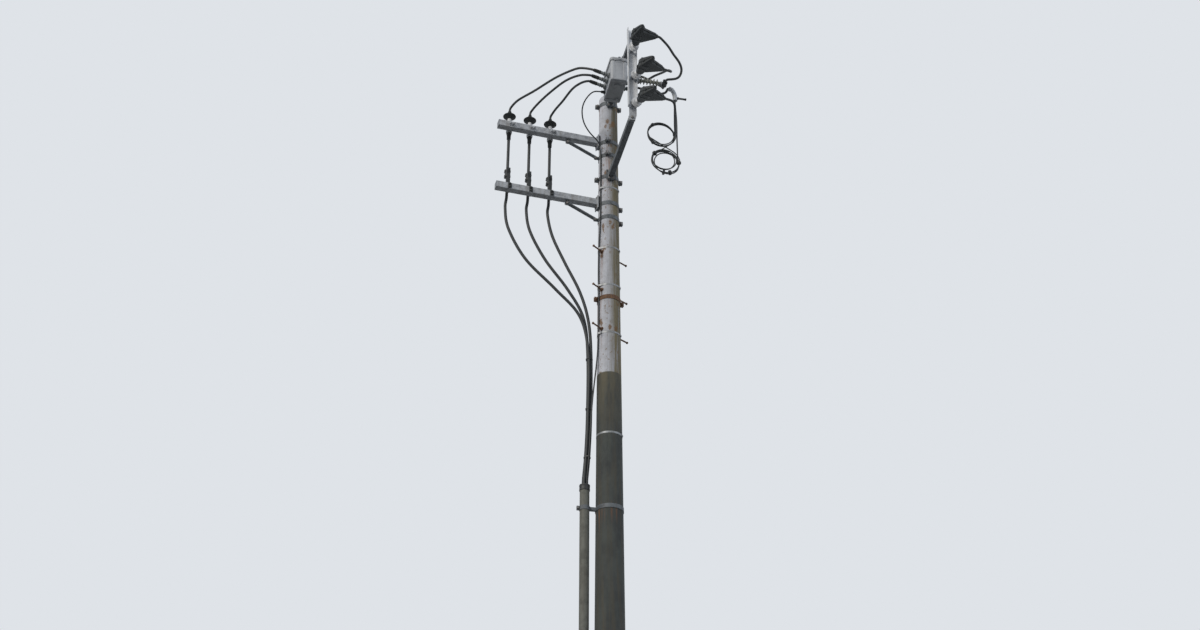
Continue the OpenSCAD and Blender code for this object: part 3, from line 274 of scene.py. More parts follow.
def spun_concrete():
    """Centrifugally spun concrete: smooth lilac-grey skin, darkened grey-olive on the +X side, away
    from the key light, as painted shade with some olive stain, and darkest there under the switch
    as painted shade; with rain runs, fine pits, rust that runs down from the steel, and a darker
    stretch below a level line at 9.13 m."""
    mat, tree, shader = material("spun_concrete")
    place = add(tree, "TexCoord", {}).outputs["Object"]
    x, _, z = add(tree, "SeparateXYZ", {"Vector": place}).outputs
    below_steel = add(tree, "Attribute", {"attribute_name": "rust_runs"}).outputs["Fac"]
    # clouds that the stains go by: their width in mm, that over their height, and their detail
    cloud = {}
    for name, width, slim, detail in (
            ("patches", 80, 1, 5), ("shade_side_runs", 25, 0.05, 5), ("rain_runs", 18, 0.04, 5),
            ("freckles", 28, 0.7, 3), ("thick_freckles", 300, 0.6, 2), ("ragged", 22, 1, 4),
            ("low_patches", 120, 0.4, 5), ("brown_runs", 30, 0.05, 5), ("brown", 60, 0.2, 5),
            ("scuffs", 40, 0.8, 6), ("dust", 35, 0.5, 5), ("pits", 6, 1, 2),
            ("broken", 14, 0.12, 5), ("gloss", 50, 1, 5), ("skin", 5, 1, 3)):
        at = add(tree, "Mapping", {"Scale": (1, 1, slim), "Vector": place})
        cloud[name] = add(tree, "TexNoise", {"Scale": 1 / (width * MM), "Detail": detail,
                                             "Roughness": 0.6, "Vector": at})

    def stained(tone, *stains):
        """A tone with stains over it, each a tone and its masks. A mask is what it goes by,
        where it begins and is full, and how strong it is at both if that isn't 0 and 1."""
        for stain, *masks in stains:
            share = 1.0
            for source, start, full, *strength in masks:
                least, most = strength or (0, 1)
                mask = add(tree, "MapRange", {"From Min": start, "From Max": full, "To Min": least,
                                              "To Max": most, "Value": source})
                share = add(tree, "Math", {"operation": "MULTIPLY", "use_clamp": True,
                                           0: share, 1: mask})
            tone = add(tree, "MixRGB", {"Fac": share, "Color1": tone, "Color2": stain})
        return tone

    upper = stained(
        "#bbbfc8",
        # cloudy patches of 80 mm, from the cement's skin
        ("#abaeb5", (cloud["patches"], 0.42, 0.62)),
        # a grey darkening that grows across the pole towards +X, the side away from the key light:
        # painted shade
        ("#66696c", (x, -0.085, 0.02, 0, 0.42)),
        # the +X side is darkened olive in runs 25 mm wide, partly a stain and partly painted shade;
        # it is darkest near the top, under the switch, as painted shade
        (stained("#6e6751", ("#565242", (z, 11.1, 11.9))),
         (x, -0.03, 0.035), (cloud["shade_side_runs"], 0.28, 0.5)),
        ("#7c7b7a", (cloud["rain_runs"], 0.56, 0.72, 0, 0.45)),
        # freckles of rust some 30 mm wide, thick in some places and absent in others
        ("#6d5638", (cloud["freckles"], 0.58, 0.65), (cloud["thick_freckles"], 0.40, 0.58)))
    # the larger rust spots, higher than wide and each with a ragged edge
    slim = 0.6
    edge = add(tree, "MapRange", {"To Min": -0.03, "To Max": 0.03, "Value": cloud["ragged"]})
    ragged = add(tree, "VectorMath", {"operation": "MULTIPLY_ADD", 0: place, 1: (1, 1, slim),
                                      2: edge})
    for spot_x, spot_y, spot_z, size in RUST_SPOTS:
        away = add(tree, "VectorMath", {"operation": "DISTANCE", 0: ragged,
                                        1: (spot_x, spot_y, spot_z * slim)})
        upper = stained(upper, ("#6a4f30", (away.outputs["Value"], size, 0.6 * size, 0, 0.85)))
    lower = stained(
        "#3e4341",
        # below the line: a darker skin with broader stains, brown just under the line
        ("#323636", (cloud["low_patches"], 0.40, 0.60)),
        ("#454136", (cloud["brown_runs"], 0.48, 0.66, 0, 0.7)),
        ("#585445", (z, 8.45, 9.1), (cloud["brown"], 0.3, 0.6)),
        # paler scuffs 40 mm wide within arm's reach, and road dust splashed up the foot
        ("#62635d", (z, 2.2, 1.2), (cloud["scuffs"], 0.56, 0.70, 0, 0.5)),
        ("#6f6a5f", (z, 0.5, 0.02, 0, 0.75), (cloud["dust"], 0.25, 0.6)))
    colour = stained(
        lower, (upper, (z, 9.126, 9.134)),
        # pits of some 6 mm, dark inside
        ("#5d5c5a", (cloud["pits"], 0.70, 0.76, 0, 0.5)),
        # the rust that runs down, broken up by the skin
        ("#7d5130", (below_steel, 0, 1), (cloud["broken"], 0.25, 0.6, 0.35, 1.25)))
    gloss = add(tree, "MapRange", {"To Min": 0.72, "To Max": 0.95, "Value": cloud["gloss"]})
    skin = add(tree, "Bump", {"Distance": 0.0004, "Strength": 1.0, "Height": cloud["skin"]})
    add(tree, shader, {"Base Color": colour, "Roughness": gloss, "Normal": skin})
    return mat


concrete = spun_concrete()

# ---- Modelling; sizes and places are in mm ----


def only(ob):
    """Selects one object alone and makes it the active one."""
    bpy.ops.object.select_all(action="DESELECT")
    ob.select_set(True)
    bpy.context.view_layer.objects.active = ob


@contextmanager
def editing(ob):
    """Edit mode on one object, with all of it selected at first."""
    only(ob)
    bpy.ops.object.mode_set(mode="EDIT")
    bpy.ops.mesh.select_all(action="SELECT")
    yield
    bpy.ops.object.mode_set(mode="OBJECT")


def select(ob, faces=None, edges=None):
    """Selects faces or edges of the mesh in edit mode by a test of each."""
    bpy.ops.mesh.select_mode(type="FACE" if faces else "EDGE")
    bpy.ops.mesh.select_all(action="DESELECT")
    mesh = bmesh.from_edit_mesh(ob.data)
    for item in mesh.faces if faces else mesh.edges:
        item.select_set(bool((faces or edges)(item)))
    mesh.select_flush_mode()
    bmesh.update_edit_mesh(ob.data)


def modifier(ob, kind, **settings):
    """Adds a modifier and applies it."""
    only(ob)
    made = ob.modifiers.new(kind.lower(), kind)
    for key, value in settings.items():
        setattr(made, key, value)
    bpy.ops.object.modifier_apply(modifier=made.name)
    return ob


def begin(primitive, name, **size):
    """Adds a primitive with nothing else selected, its place in its mesh."""
    bpy.ops.object.select_all(action="DESELECT")
    primitive(**size)
    bpy.ops.object.transform_apply(location=True, rotation=True, scale=True)
    ob = bpy.context.object
    ob.name = ob.data.name = name
    return ob


def between(name, low, high):
    """The start of a block between two corners."""
    low, high = mm(*low), mm(*high)
    return begin(bpy.ops.mesh.primitive_cube_add, name, size=1, location=(low + high) / 2,
                 scale=high - low)


def block(name, low, high, soften=1.0, steps=2):
    """A plate or block between two corners, with its edges rounded."""
    ob = between(name, low, high)
    with editing(ob):
        bpy.ops.mesh.bevel(offset=soften * MM, segments=steps, affect="EDGES")
    return ob


def pressed_box(name, low, high, corner, rim):
    """A box with round upright corners, and its upper and lower edges rounded."""
    ob = between(name, low, high)
    tall = 0.5 * (high[2] - low[2]) * MM

    def rise(edge):
        return abs(edge.verts[0].co.z - edge.verts[1].co.z)

    with editing(ob):
        select(ob, edges=lambda e: rise(e) > tall)
        bpy.ops.mesh.bevel(offset=corner * MM, segments=8, affect="EDGES")
        select(ob, edges=lambda e: rise(e) < 1e-6)
        bpy.ops.mesh.bevel(offset=rim * MM, segments=3, affect="EDGES")
    return ob


def closed_up(ob):
    """Merges doubled points and turns the faces outwards."""
    with editing(ob):
        bpy.ops.mesh.remove_doubles(threshold=0.00001)
        bpy.ops.mesh.normals_make_consistent(inside=False)
    return ob


def turned(name, profile, sides=32, hollow=False):
    """A disc that is pulled up its axis and widened or narrowed at each step of the profile,
    given as radius and height. A hollow one ends where it began, as a ring's section does."""
    radius, height = profile[0]
    ob = begin(bpy.ops.mesh.primitive_circle_add, name, vertices=sides, radius=radius * MM,
               fill_type="NOTHING" if hollow else "NGON", location=(0, 0, height * MM))
    pull = bpy.ops.mesh.extrude_edges_move if hollow else bpy.ops.mesh.extrude_region_move
    with editing(ob):
        for r, z in profile[1:] + (profile[:1] if hollow else []):
            pull(TRANSFORM_OT_translate={"value": (0, 0, (z - height) * MM)})
            bpy.ops.transform.resize(value=(r / radius, r / radius, 1),
                                     center_override=(0, 0, z * MM))
            radius, height = r, z
    return closed_up(ob)


def raised(profile, *heights):
    """The same stretch of a profile at several heights."""
    return [(r, z + height) for height in heights for r, z in profile]


def join(name, parts):
    """Makes one object of several."""
    only(parts[0])
    for part in parts[1:]:
        part.select_set(True)
    if len(parts) > 1:
        bpy.ops.object.join()
    ob = bpy.context.object
    ob.name = ob.data.name = name
    return ob


def lay(ob, place):
    ob.data.transform(place)
    return ob


def twin(master, place):
    """A copy with its own mesh, at a place."""
    ob = master.copy()
    ob.data = master.data.copy()
    scene.collection.objects.link(ob)
    return lay(ob, place)


def spread(master, places):
    """Copies of a part at each place, in its stead."""
    twins = [twin(master, place) for place in places]
    bpy.data.objects.remove(master)
    return twins


def aimed(place, direction):
    """A frame whose +Z points along a direction, at a place."""
    return shift(*place) @ Vector(direction).to_track_quat("Z", "Y").to_matrix().to_4x4()


def piece(name, parts, finish, place=Matrix(), angle=35, stands_for=None):
    """Finishes a piece: joins its parts, lays it, shades it, and says its body and the
    frame node that it stands for, which is the one of its own name if there is one."""
    ob = lay(join(name, parts), place)
    ob.data.materials.append(finish)
    only(ob)
    bpy.ops.object.shade_smooth_by_angle(angle=math.radians(angle))
    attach(ob, "root")
    if (stands_for or name) in nodes:
        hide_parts(stands_for or name)


# ---- Lines through points ----


def smooth(points, steps):
    """A rounded line through given points."""
    out, points = [], [Vector(p) for p in points]
    for i in range(len(points) - 1):
        a, b = points[max(i - 1, 0)], points[i]
        c, d = points[i + 1], points[min(i + 2, len(points) - 1)]
        for k in range(steps):
            t = k / steps
            out.append(0.5 * (2 * b + (c - a) * t + (2 * a - 5 * b + 4 * c - d) * t * t
                              + (3 * b - a - 3 * c + d) * t ** 3))
    return out + [points[-1]]


def eased(points, step=12, rounds=4):
    """The same line in even steps, with its corners rounded."""
    even, left = [points[0]], step
    for a, b in zip(points, points[1:]):
        length, walked = (b - a).length, left
        while walked < length:
            even.append(a.lerp(b, walked / length))
            walked += step
        left = walked - length
    if (even[-1] - points[-1]).length < step / 2:
        even.pop()
    even.append(points[-1])
    for _ in range(rounds):
        even[1:-1] = [(a + 2 * b + c) / 4 for a, b, c in zip(even, even[1:], even[2:])]
    return even


def route(start, middle, end):
    """Straight first and last stretches, and a rounded line between."""
    return eased([Vector(start[0])] + smooth([start[1], *middle, end[0]], 8) + [Vector(end[1])])


def along(points, diameter, pulse=0.0, closed=False):
    """A round tube along a line; a pulse makes it swell and narrow, as a weld bead does."""
    curve = bpy.data.curves.new("line", "CURVE")
    curve.dimensions = "3D"
    spline = curve.splines.new("POLY")
    spline.points.add(len(points) - 1)
    spline.use_cyclic_u = closed
    for k, (point, at) in enumerate(zip(spline.points, points)):
        point.co = (*mm(*at), 1)
        point.radius = 1 + pulse * (-1) ** k
    curve.bevel_depth, curve.bevel_resolution = diameter / 2 * MM, 6
    curve.use_fill_caps = not closed
    ob = bpy.data.objects.new("line", curve)
    scene.collection.objects.link(ob)
    only(ob)
    bpy.ops.object.convert(target="MESH")
    return closed_up(bpy.context.object)


def cord(name, points, diameter):
    """A sheathed cord along the frame's own route."""
    piece(name, [along(points, diameter)], sheath)


def square_loop(half, corner, x, step=4.0):
    """Points round a square with rounded corners, in the plane at x."""
    out, inner = [], half - corner
    count = int(2 * inner / step)
    for turn in range(4):
        a = math.radians(90 * turn)
        side = [(inner + corner * math.cos(math.radians(b)),
                 inner + corner * math.sin(math.radians(b))) for b in (0, 22.5, 45, 67.5, 90)]
        side += [(inner - 2 * inner * k / count, half) for k in range(1, count)]
        out += [(x, y * math.cos(a) - z * math.sin(a), y * math.sin(a) + z * math.cos(a))
                for y, z in side]
    return out


# ---- Bolts and other small things: along +Z, seated at the origin, d is a diameter ----


def rod(d, start, end, sides=20, soften=0.8):
    """A round bar with its rims taken off."""
    r = d / 2
    return turned("rod", [(r - soften, start), (r, start + soften), (r, end - soften),
                          (r - soften, end)], sides)


def thread(d, start, end, pitch=2.0):
    """A bolt's threaded end, with one ridge for each turn."""
    steps, z = [(d / 2 - 0.9, start)], start
    while z + pitch <= end + 0.01:
        steps += [(d / 2, z + pitch / 2), (d / 2 - 0.9, z + pitch)]
        z += pitch
    return turned("thread", steps + [(d / 2 - 2, z + 0.8)], 16)


def hexagon(width, start, height):
    """A hexagon with its corners taken off, as on a nut or a bolt's head; width is over corners."""
    r, off = width / 2, width * 0.06
    return turned("hexagon", [(r - off, start), (r, start + off * 0.6),
                              (r, start + height - off * 0.6), (r - off, start + height)], 6)


def washer(r, start, t=2.5):
    return turned("washer", [(r - 0.5, start), (r, start + 0.5), (r, start + t - 0.5),
                             (r - 0.5, start + t)], 24)


def head(washer_r, width, height, t=2.5):
    """A hexagon on its washer."""
    return join("head", [washer(washer_r, 0, t), hexagon(width, t, height)])


def bolt(d, grip, tail=9):
    """A bolt with its head at the origin and its nut and threaded tail below the grip."""
    nut = -grip - 2.5 - 0.8 * d
    return join("bolt", [head(d * 1.05, 1.75 * d, 0.65 * d), rod(d, -grip, 1),
                         washer(d * 1.05, -grip - 2.5), hexagon(1.75 * d, nut, 0.8 * d),
                         thread(d, nut - tail, nut + 2.5)])


def nut_end(d, tail=9):
    """What shows of a bolt on its nut's side: a washer, a nut and a threaded tail."""
    return join("nut_end", [head(d * 1.05, 1.75 * d, 0.8 * d),
                            thread(d, 0.8 * d, 2.5 + 0.8 * d + tail)])


# ---- Cords: the frame's own routes ----


def wire_frame(i):
    """The frame of line wire i: +X along the wire, +Y to its right."""
    return shift(0, WIRE_Y, WIRE_Z[i]) @ spin(WIRE_TURN[i] - 90) @ spin(WIRE_TILT[i], "Y")


def from_cover(i, away):
    """A place on the axis of clamp cover i's jumper outlet."""
    return wire_frame(i) @ mm(COVER_START + OUTLET_X, OUTLET_Y + 0.3 + away, 0) / MM


def term_place(i, z):
    """A place on termination i's axis."""
    return SIDE @ mm(TERM_S[i], TERM_SIDE, z) / MM


def bushing_place(i, side, s):
    """A place on the axis of a switch lead's bushing; side is -1 for the load, 1 for the line."""
    rise = math.radians(BUSHING_RISE)
    return Vector((SWITCH_X + side * (HALF_W + s * math.cos(rise)), SWITCH_Y + (i - 1) * 90,
                   BUSHING_Z + s * math.sin(rise)))


def in_boot(i, side):
    """A lead's last stretch, inside its boot."""
    return [bushing_place(i, side, 176.3), bushing_place(i, side, 110.6)]


def on_pole(z, turn, away):
    """A place that far from the pole's surface."""
    r, a = pole_r(z) + away, math.radians(turn)
    return Vector((r * math.cos(a), r * math.sin(a), z))


# heights on a termination's axis: of the lead's straight end, the cable's straight start, and
# the cable in its cleat; and in the riser: where its cables run straight from, and where they end
LEAD_IN, TAIL_OUT, CLEATED = (12216.5, 12180), (11816, 11460), (11305, 11082.5)
RISER_IN, CABLE_END = 7860, 20
# each load lead's bushing and termination, and what it passes
for name, bushing, term, middle in (
        ("load_lead_front", 0, 2, [(-415, -745, 12263), (-492, -687, 12287), (-660, -525, 12280),
                                   (-842, -291, 12262), (-985, -100, 12262)]),
        ("load_lead_middle", 1, 1, [(-431, -605, 12283), (-551, -452, 12313), (-683, -245, 12292),
                                    (-778, -85, 12255)]),
        ("load_lead_rear", 2, 0, [(-392, -520, 12263), (-461, -380, 12283), (-529, -194, 12254),
                                  (-578, -70, 12240)])):
    cord(name, route(in_boot(bushing, -1)[::-1], middle, [term_place(term, z) for z in LEAD_IN]),
         LEAD_D)

# the jumper's clamp, on the ribbed insulator's axis, and the sleeve to the coils
CLAMP_X, CLAMP_Z, RIBBED_Y = 325.6, 11893, -1103.3
SLEEVE = [Vector(p) for p in ((392, -1040, 11893), (412, -1050, 11878), (430, -1052, 11845),
                              (442, -1052, 11800), (442, -1052, 11742))]
SLEEVE_IN = (SLEEVE[0] - SLEEVE[1]).normalized()
for name, start, middle, end in (
        ("jumper_top", [from_cover(0, -6), from_cover(0, 30)],
         [(304, -1360, 12160), (364, -1320, 12104), (440, -1270, 12046), (472, -1220, 11990),
          (440, -1180, 11925)],
         [(CLAMP_X, RIBBED_Y - 70, CLAMP_Z), (CLAMP_X, -1130, CLAMP_Z)]),
        ("line_lead_front", [(CLAMP_X, -1076, CLAMP_Z), (CLAMP_X, RIBBED_Y + 70, CLAMP_Z)],
         [(330, -980, 11960), (270, -880, 12090)], in_boot(0, 1)),
        ("line_lead_middle", [from_cover(1, -6), from_cover(1, 30)],
         [(345, -1290, 11900), (340, -1190, 12000), (320, -1010, 12110), (285, -860, 12190),
          (240, -745, 12225)], in_boot(1, 1)),
        ("line_lead_rear", [SLEEVE[0] - 8 * SLEEVE_IN, SLEEVE[0] + 26 * SLEEVE_IN],
         [(372, -990, 11890), (330, -880, 11950), (250, -730, 12100)], in_boot(2, 1))):
    cord(name, route(start, middle, end), LEAD_D)

cord("control_cable", route(
    [(-203.3, -587, 12121), (-227.3, -587, 12121)],
    [(-285.3, -540, 12139), (-345.3, -470, 12080), (-358.3, -380, 12020), (-320.3, -280, 11950),
     (-240.3, -185, 11905), on_pole(11865, 216, 52), on_pole(11790, 214, 24.5),
     on_pole(11690, 214, 13.5), on_pole(11500, 214, 12.5), on_pole(11200, 214, 12.5),
     on_pole(10850, 212, 12.5), on_pole(10620, 206, 14.5), on_pole(10300, 203, 14.5),
     on_pole(9975, 206, 13.5), on_pole(9401, 202, 13.5), (-176, -58, 8800), (-200, -44, 8300)],
    [(-216, -27, 8050), (-216, -27, RISER_IN)]) + [Vector((-216, -27, CABLE_END))], THIN_D)

# each drop cable's place in the conduit, and what it passes on its way there
for i, (name, x, y, middle) in enumerate((
        ("drop_cable_inner", -213.4, 0, [
            (-622, 36, 10960), (-570, 30, 10700), (-440, 20, 10390), (-290, 6, 10060),
            (-205, 0, 9740), (-176, 0, 9350), (-178, 0, 8700), (-192, 0, 8300)]),
        ("drop_cable_middle", -241, 16, [
            (-842, 18, 10960), (-800, 18, 10720), (-640, 18, 10400), (-410, 17, 10080),
            (-250, 16, 9770), (-205, 16, 9350), (-206, 16, 8700), (-220, 16, 8300)]),
        ("drop_cable_outer", -241, -16, [
            (-1060, -4, 10950), (-1020, -6, 10700), (-840, -10, 10360), (-540, -14, 10050),
            (-290, -16, 9760), (-205, -16, 9350), (-206, -16, 8700), (-220, -16, 8300)]))):
    cord(name, route([term_place(i, z) for z in TAIL_OUT],
                     [*(term_place(i, z) for z in CLEATED), *middle],
                     [(x, y, 8020), (x, y, RISER_IN)]) + [Vector((x, y, CABLE_END))], CABLE_D)

# ---- Spare wire: one thin wire wound into an upper and a lower coil, crossing between them ----
UPPER_COIL, LOWER_COIL, COIL_R = Vector((272, -1120, 11232)), Vector((306, -1120, 10915)), 135


def loop(coil, start, end, dx=0, dz=0, dr=0, dy=0, lean=0.0, flat=1.0, steps=72):
    """Part of a hand-wound upright turn, from one angle to another. It is off its coil's middle,
    radius and plane by the shifts given."""
    out = []
    for k in range(steps + 1):
        a = math.radians(start + (end - start) * k / steps)
        out.append(coil + Vector((dx + (COIL_R + dr) * math.cos(a), dy + lean * math.sin(a + 0.6),
                                  dz + (COIL_R + dr) * flat * math.sin(a))))
    return out


# three turns that lie close make the upper coil, and five loose ones, each slung its own way,
# the lower one: each turn's shifts, its lean and how flat it hangs
wound = []
for coil, *slung in ((UPPER_COIL, 0, 0, 0, -6, 3), (UPPER_COIL, 1, -1, -4, 6, -3, 0.985),
                     (UPPER_COIL, -5, 4, -6, -17, 4, 1.02), (LOWER_COIL, 0, 0, 0, -6, 4),
                     (LOWER_COIL, 15, -14, -14, 6, 7, 1.05),
                     (LOWER_COIL, -13, 14, -15, -17, -6, 0.93),
                     (LOWER_COIL, 7, 9, 2, 17, 6, 0.92), (LOWER_COIL, -14, 16, -27, 0, -4)):
    wound.append(along(loop(coil, 0, 360, *slung)[:-1], SPARE_D, closed=True))
# two strands cross from one coil to the other, each between two of the ties
for leaves, off, meets, held, y_up, y_low in ((128, 205, 65, 4, -22, -20),
                                              (368, 335, 115, 140, 14, 22)):
    strand = (loop(UPPER_COIL, leaves, off, dr=2, dy=y_up, steps=10)
              + loop(LOWER_COIL, meets, held, dr=6, dy=y_low, steps=8))
    wound.append(along(eased(smooth(strand, 4), 8, 6), SPARE_D))
piece("spare_coils", wound, sheath)

FEED = eased([from_cover(2, -6)] + smooth(
    [from_cover(2, 24), (372, -1270, 11530), (398, -1190, 11440), (408, -1145.5, 11360),
     (409, -1145.5, 11270), (400, -1145.5, 11190)], 8))
tip = turned("tip", [(12.6, -34), (13.6, -30), (13.6, 0), (9, 14), (6.6, 24), (6, 26)])
piece("coil_feed", [along(FEED, LEAD_D), lay(tip, aimed(FEED[-1], FEED[-1] - FEED[-2]))],
      sheath)
cord("coil_return", eased([Vector((442, -1052, 11744))] + smooth(
    [(442, -1052, 11702), (446, -1062, 11560), (446, -1075, 11420), (440, -1090, 11280),
     (437, -1099.5, 11120), (437, -1099.5, 10940)], 8)), THIN_D)

# turns of black tape hold the coils' wires, the feed and the return together: where on its coil
# each is, its width, and how far it is off the coil's radius and plane
ties = []
for coil, angle, width, dr, dy in (
        (UPPER_COIL, 8, 34, 5, -7), (UPPER_COIL, 128, 28, 0, -7), (UPPER_COIL, 232, 28, 0, -7),
        (LOWER_COIL, 4, 36, 1, 3), (LOWER_COIL, 140, 36, -2, 0), (LOWER_COIL, 262, 38, -4, 0),
        (LOWER_COIL, 290, 38, -4, 0)):
    tie = turned("tie", [(width * share, z) for share, z in (
        (0.5, -11), (0.62, -10), (0.66, -3), (0.64, 0), (0.66, 4), (0.6, 10), (0.5, 11))], 20)
    a = math.radians(angle)
    place = coil + Vector(((COIL_R + dr) * math.cos(a), dy, (COIL_R + dr) * math.sin(a)))
    ties.append(lay(tie, aimed(place, (-math.sin(a), 0, math.cos(a)))))
piece("coil_ties", ties, nylon)

rim = turned("rim", [(20, -3), (22.5, -3), (24, 0), (24, 9), (22.5, 12), (20, 12)], 28)
piece("coil_sleeve", [along([SLEEVE[0]] + smooth(SLEEVE[1:4], 6) + [SLEEVE[4]], 44),
                      *spread(rim, [aimed(SLEEVE[0], SLEEVE[1] - SLEEVE[0]),
                                    aimed(SLEEVE[4], SLEEVE[3] - SLEEVE[4])])],
      sleeve_grey)
piece("sleeve_rod", [rod(20, 0, 96), turned("collar", [(13, 14), (15, 16), (15, 24), (13, 26)]),
                     turned("knob", [(10, 92), (12.5, 94), (12.5, 102), (9, 106)])],
      nylon, shift(452, -1052, 11776) @ ALONG_X)

# ---- Line gear: clamp covers, modelled with the wire along +X ----


def rounded_hull(name, places, grow=0, height=None, soften=7, steps=4):
    """One rounded body stretched round upright discs, given as x, y, radius and height."""
    ob = join(name, [begin(bpy.ops.mesh.primitive_cylinder_add, name, vertices=48,
                           radius=(r + grow) * MM, depth=(height or h) * MM,
                           location=mm(x, y, 0)) for x, y, r, h in places])
    with editing(ob):
        bpy.ops.mesh.convex_hull()
    return modifier(ob, "BEVEL", width=soften * MM, segments=steps, limit_method="ANGLE",
                    angle_limit=math.radians(50))


def unite(ob, other):
    """Makes one solid of two."""
    modifier(ob, "BOOLEAN", object=other, operation="UNION", solver="EXACT")
    bpy.data.objects.remove(other)
    return ob


def cut(ob, *planes):
    """Takes away what lies beyond each plane, given as a place and a direction."""
    with editing(ob):
        for place, facing in planes:
            bpy.ops.mesh.select_all(action="SELECT")
            bpy.ops.mesh.bisect(plane_co=mm(*place), plane_no=facing, use_fill=True,
                                clear_outer=True)
    return ob


WIRE_SIDE = [(34, 0, 34, 68), (150, -26, 44, 88), (284, 0, 24, 42)]
JUMPER_SIDE = [(104, 8, 40, 80), (168, 150, 26, 48), (218, 6, 34, 64)]
shell = unite(rounded_hull("shell", WIRE_SIDE), rounded_hull("jumper_side", JUMPER_SIDE))
modifier(shell, "REMESH", mode="VOXEL", voxel_size=0.0034)
modifier(shell, "SMOOTH", factor=0.5, iterations=7)
# the arm's flange is a little thinner, so that no faces of the two fall together
seam = join("seam", [
    cut(rounded_hull("seam", WIRE_SIDE, 6, 5, 1.2, 2), ((0, 0, 0), (-1, 0, 0))),
    cut(rounded_hull("seam_arm", JUMPER_SIDE, 6, 4.9, 1.2, 2), ((0, OUTLET_Y, 0), (0, 1, 0)))])
latch = join("latch", [
    block("body", (-12, -4, -10), (12, 4, 10), 1.6), block("lip", (-9, 2.5, -5), (9, 6, 5), 1.2),
    lay(rod(5, -11, 11, 12), shift(0, 4.6, 7.5) @ ALONG_X)])
latches = spread(latch, [shift(x, y) @ spin(turn) for x, y, turn in (
    (78, -55, 163), (214, -56, 199), (101, 94, 66), (226, 89, -71))])
# two shallow ribs run round the widest part: slices of a slightly larger hull
ribs = []
for x in (118, 182):
    rib = cut(rounded_hull("rib", [(px, py, r, h + 5.2) for px, py, r, h in WIRE_SIDE], 2.6),
              ((x - 3, 0, 0), (-1, 0, 0)), ((x + 3, 0, 0), (1, 0, 0)))
    ribs.append(modifier(rib, "BEVEL", width=0.0012, segments=2, limit_method="ANGLE"))
neck = turned("neck", [(24, -12), (27, -11), (29, -4), (33, 2), (34.5, 8), (34, 20), (30, 26)], 40)
wire_lip = turned("wire_lip", [(9, 300), (16.5, 298), (18.5, 301), (18.5, 311), (16, 314),
                               (10, 314), (9, 312)], hollow=True)
jumper_lip = turned("jumper_lip", [(12, -10), (22, -8), (21, 2), (18.5, 11), (15.5, 13),
                                   (12, 12)], hollow=True)
cover = join("cover", [shell, seam, *latches, *ribs, lay(neck, ALONG_X), lay(wire_lip, ALONG_X),
                       lay(jumper_lip, shift(OUTLET_X, OUTLET_Y) @ ALONG_Y)])
places = [wire_frame(i) @ shift(COVER_START) for i in range(3)]
for word, made in zip(("top", "middle", "bottom"), spread(cover, places)):
    piece(f"clamp_cover_{word}", [made], cover_black, angle=32)

# ---- Line gear: strain insulators, each held by a bolt through the channel ----
LINK_L, CHANNEL_BACK = 46, (-1078, -1078, -1068.7)
shed = [(22, 0), (30, 4.5), (42, 7.6), (47, 8.6), (48.6, 10.2), (48.4, 12), (46.5, 13),
        (40, 12.6), (28, 12.4), (22.5, 14.5), (20, 19)]
sheds = turned("sheds", [(18, 10), (20, 12), (20.5, 18), *raised(shed, 22), (20, 50),
                         *raised(shed, 54), (20, 92), (18, 99)], 48)
caps = join("caps", [
    turned("cap", [(17, -1), (21, 0), (22.5, 2), (22.5, 8), (21.5, 12), (19, 13)]),
    turned("cap", [(19, 96), (21.5, 97), (22.5, 101), (22.5, 107), (21, 110), (17, 111)])])
link = [lay(caps, shift(LINK_L) @ ALONG_X), lay(bolt(11, 18, 7), shift(31, 9) @ ALONG_Y)]
# a tongue on the channel, in a fork on the insulator: from and to along and across the wire
link += [block("fork", (x0, y0, -12.8), (x1, y1, 12.8), 2, 3) for x0, x1, y0, y1 in (
    (4, 40, -4, 4), (20, 47, 4, 9), (20, 47, -9, -4), (39, 47, -9, 9))]
wires, seats = [wire_frame(i) for i in range(3)], [shift(0, WIRE_Y, z) for z in WIRE_Z]
sheds = spread(sheds, [wire @ shift(LINK_L) @ ALONG_X for wire in wires])
links = spread(join("link", link), wires)
bosses = spread(block("boss", (-16, -6, -16), (16, 0, 16), 2, 3), seats)
nuts = spread(nut_end(16, 10), [shift(0, y, z) @ ALONG_Y for y, z in zip(CHANNEL_BACK, WIRE_Z)])
for i, word in enumerate(("top", "middle", "bottom")):
    piece(f"strain_sheds_{word}", [sheds[i]], porcelain, angle=50)
    stem = lay(rod(16, 0, CHANNEL_BACK[i] - WIRE_Y + 4), seats[i] @ ALONG_Y)
    piece(f"strain_fittings_{word}", [links[i], bosses[i], stem, nuts[i]],
          zinc, stands_for=f"strain_insulator_{word}")

# ---- The ribbed insulator on the channel, and the jumper's clamp ----
RIBBED = shift(45.3, RIBBED_Y, CLAMP_Z) @ ALONG_X
rib = [(16, 0), (17.5, 2.5), (24, 5), (33, 7), (36, 8.4), (36.6, 10), (35.6, 11.6), (32, 12),
       (24, 12), (17.5, 14.5), (16, 18)]
core = turned("core", [(15, 18), (16, 24), *raised(rib, *[30 + 32.5 * k for k in range(6)]),
                       (16, 236), (15, 242)], 40)
piece("jumper_insulator", [core], grey_porcelain, RIBBED, 50)
piece("jumper_insulator_fittings", [
    turned("cap", [(20, 0), (24, 1.5), (24.5, 4), (24.5, 16), (22, 20), (16, 22)]),
    turned("cap", [(16, 236), (21, 238), (22.5, 242), (22.5, 252), (20, 255)]),
    rod(16, -31, 2), lay(nut_end(16, 6), shift(0, 0, -5.6) @ spin(180, "X"))],
    zinc, RIBBED)
barrel = turned("barrel", [(19, -30), (23, -29), (25, -25), (25, -12), (23, -8), (23, 8),
                           (25, 12), (25, 25), (23, 29), (19, 30)], 36)
eye = turned("eye", [(7, -4), (10, -6), (15, -4), (15, 4), (10, 6), (7, 4)], 24, hollow=True)
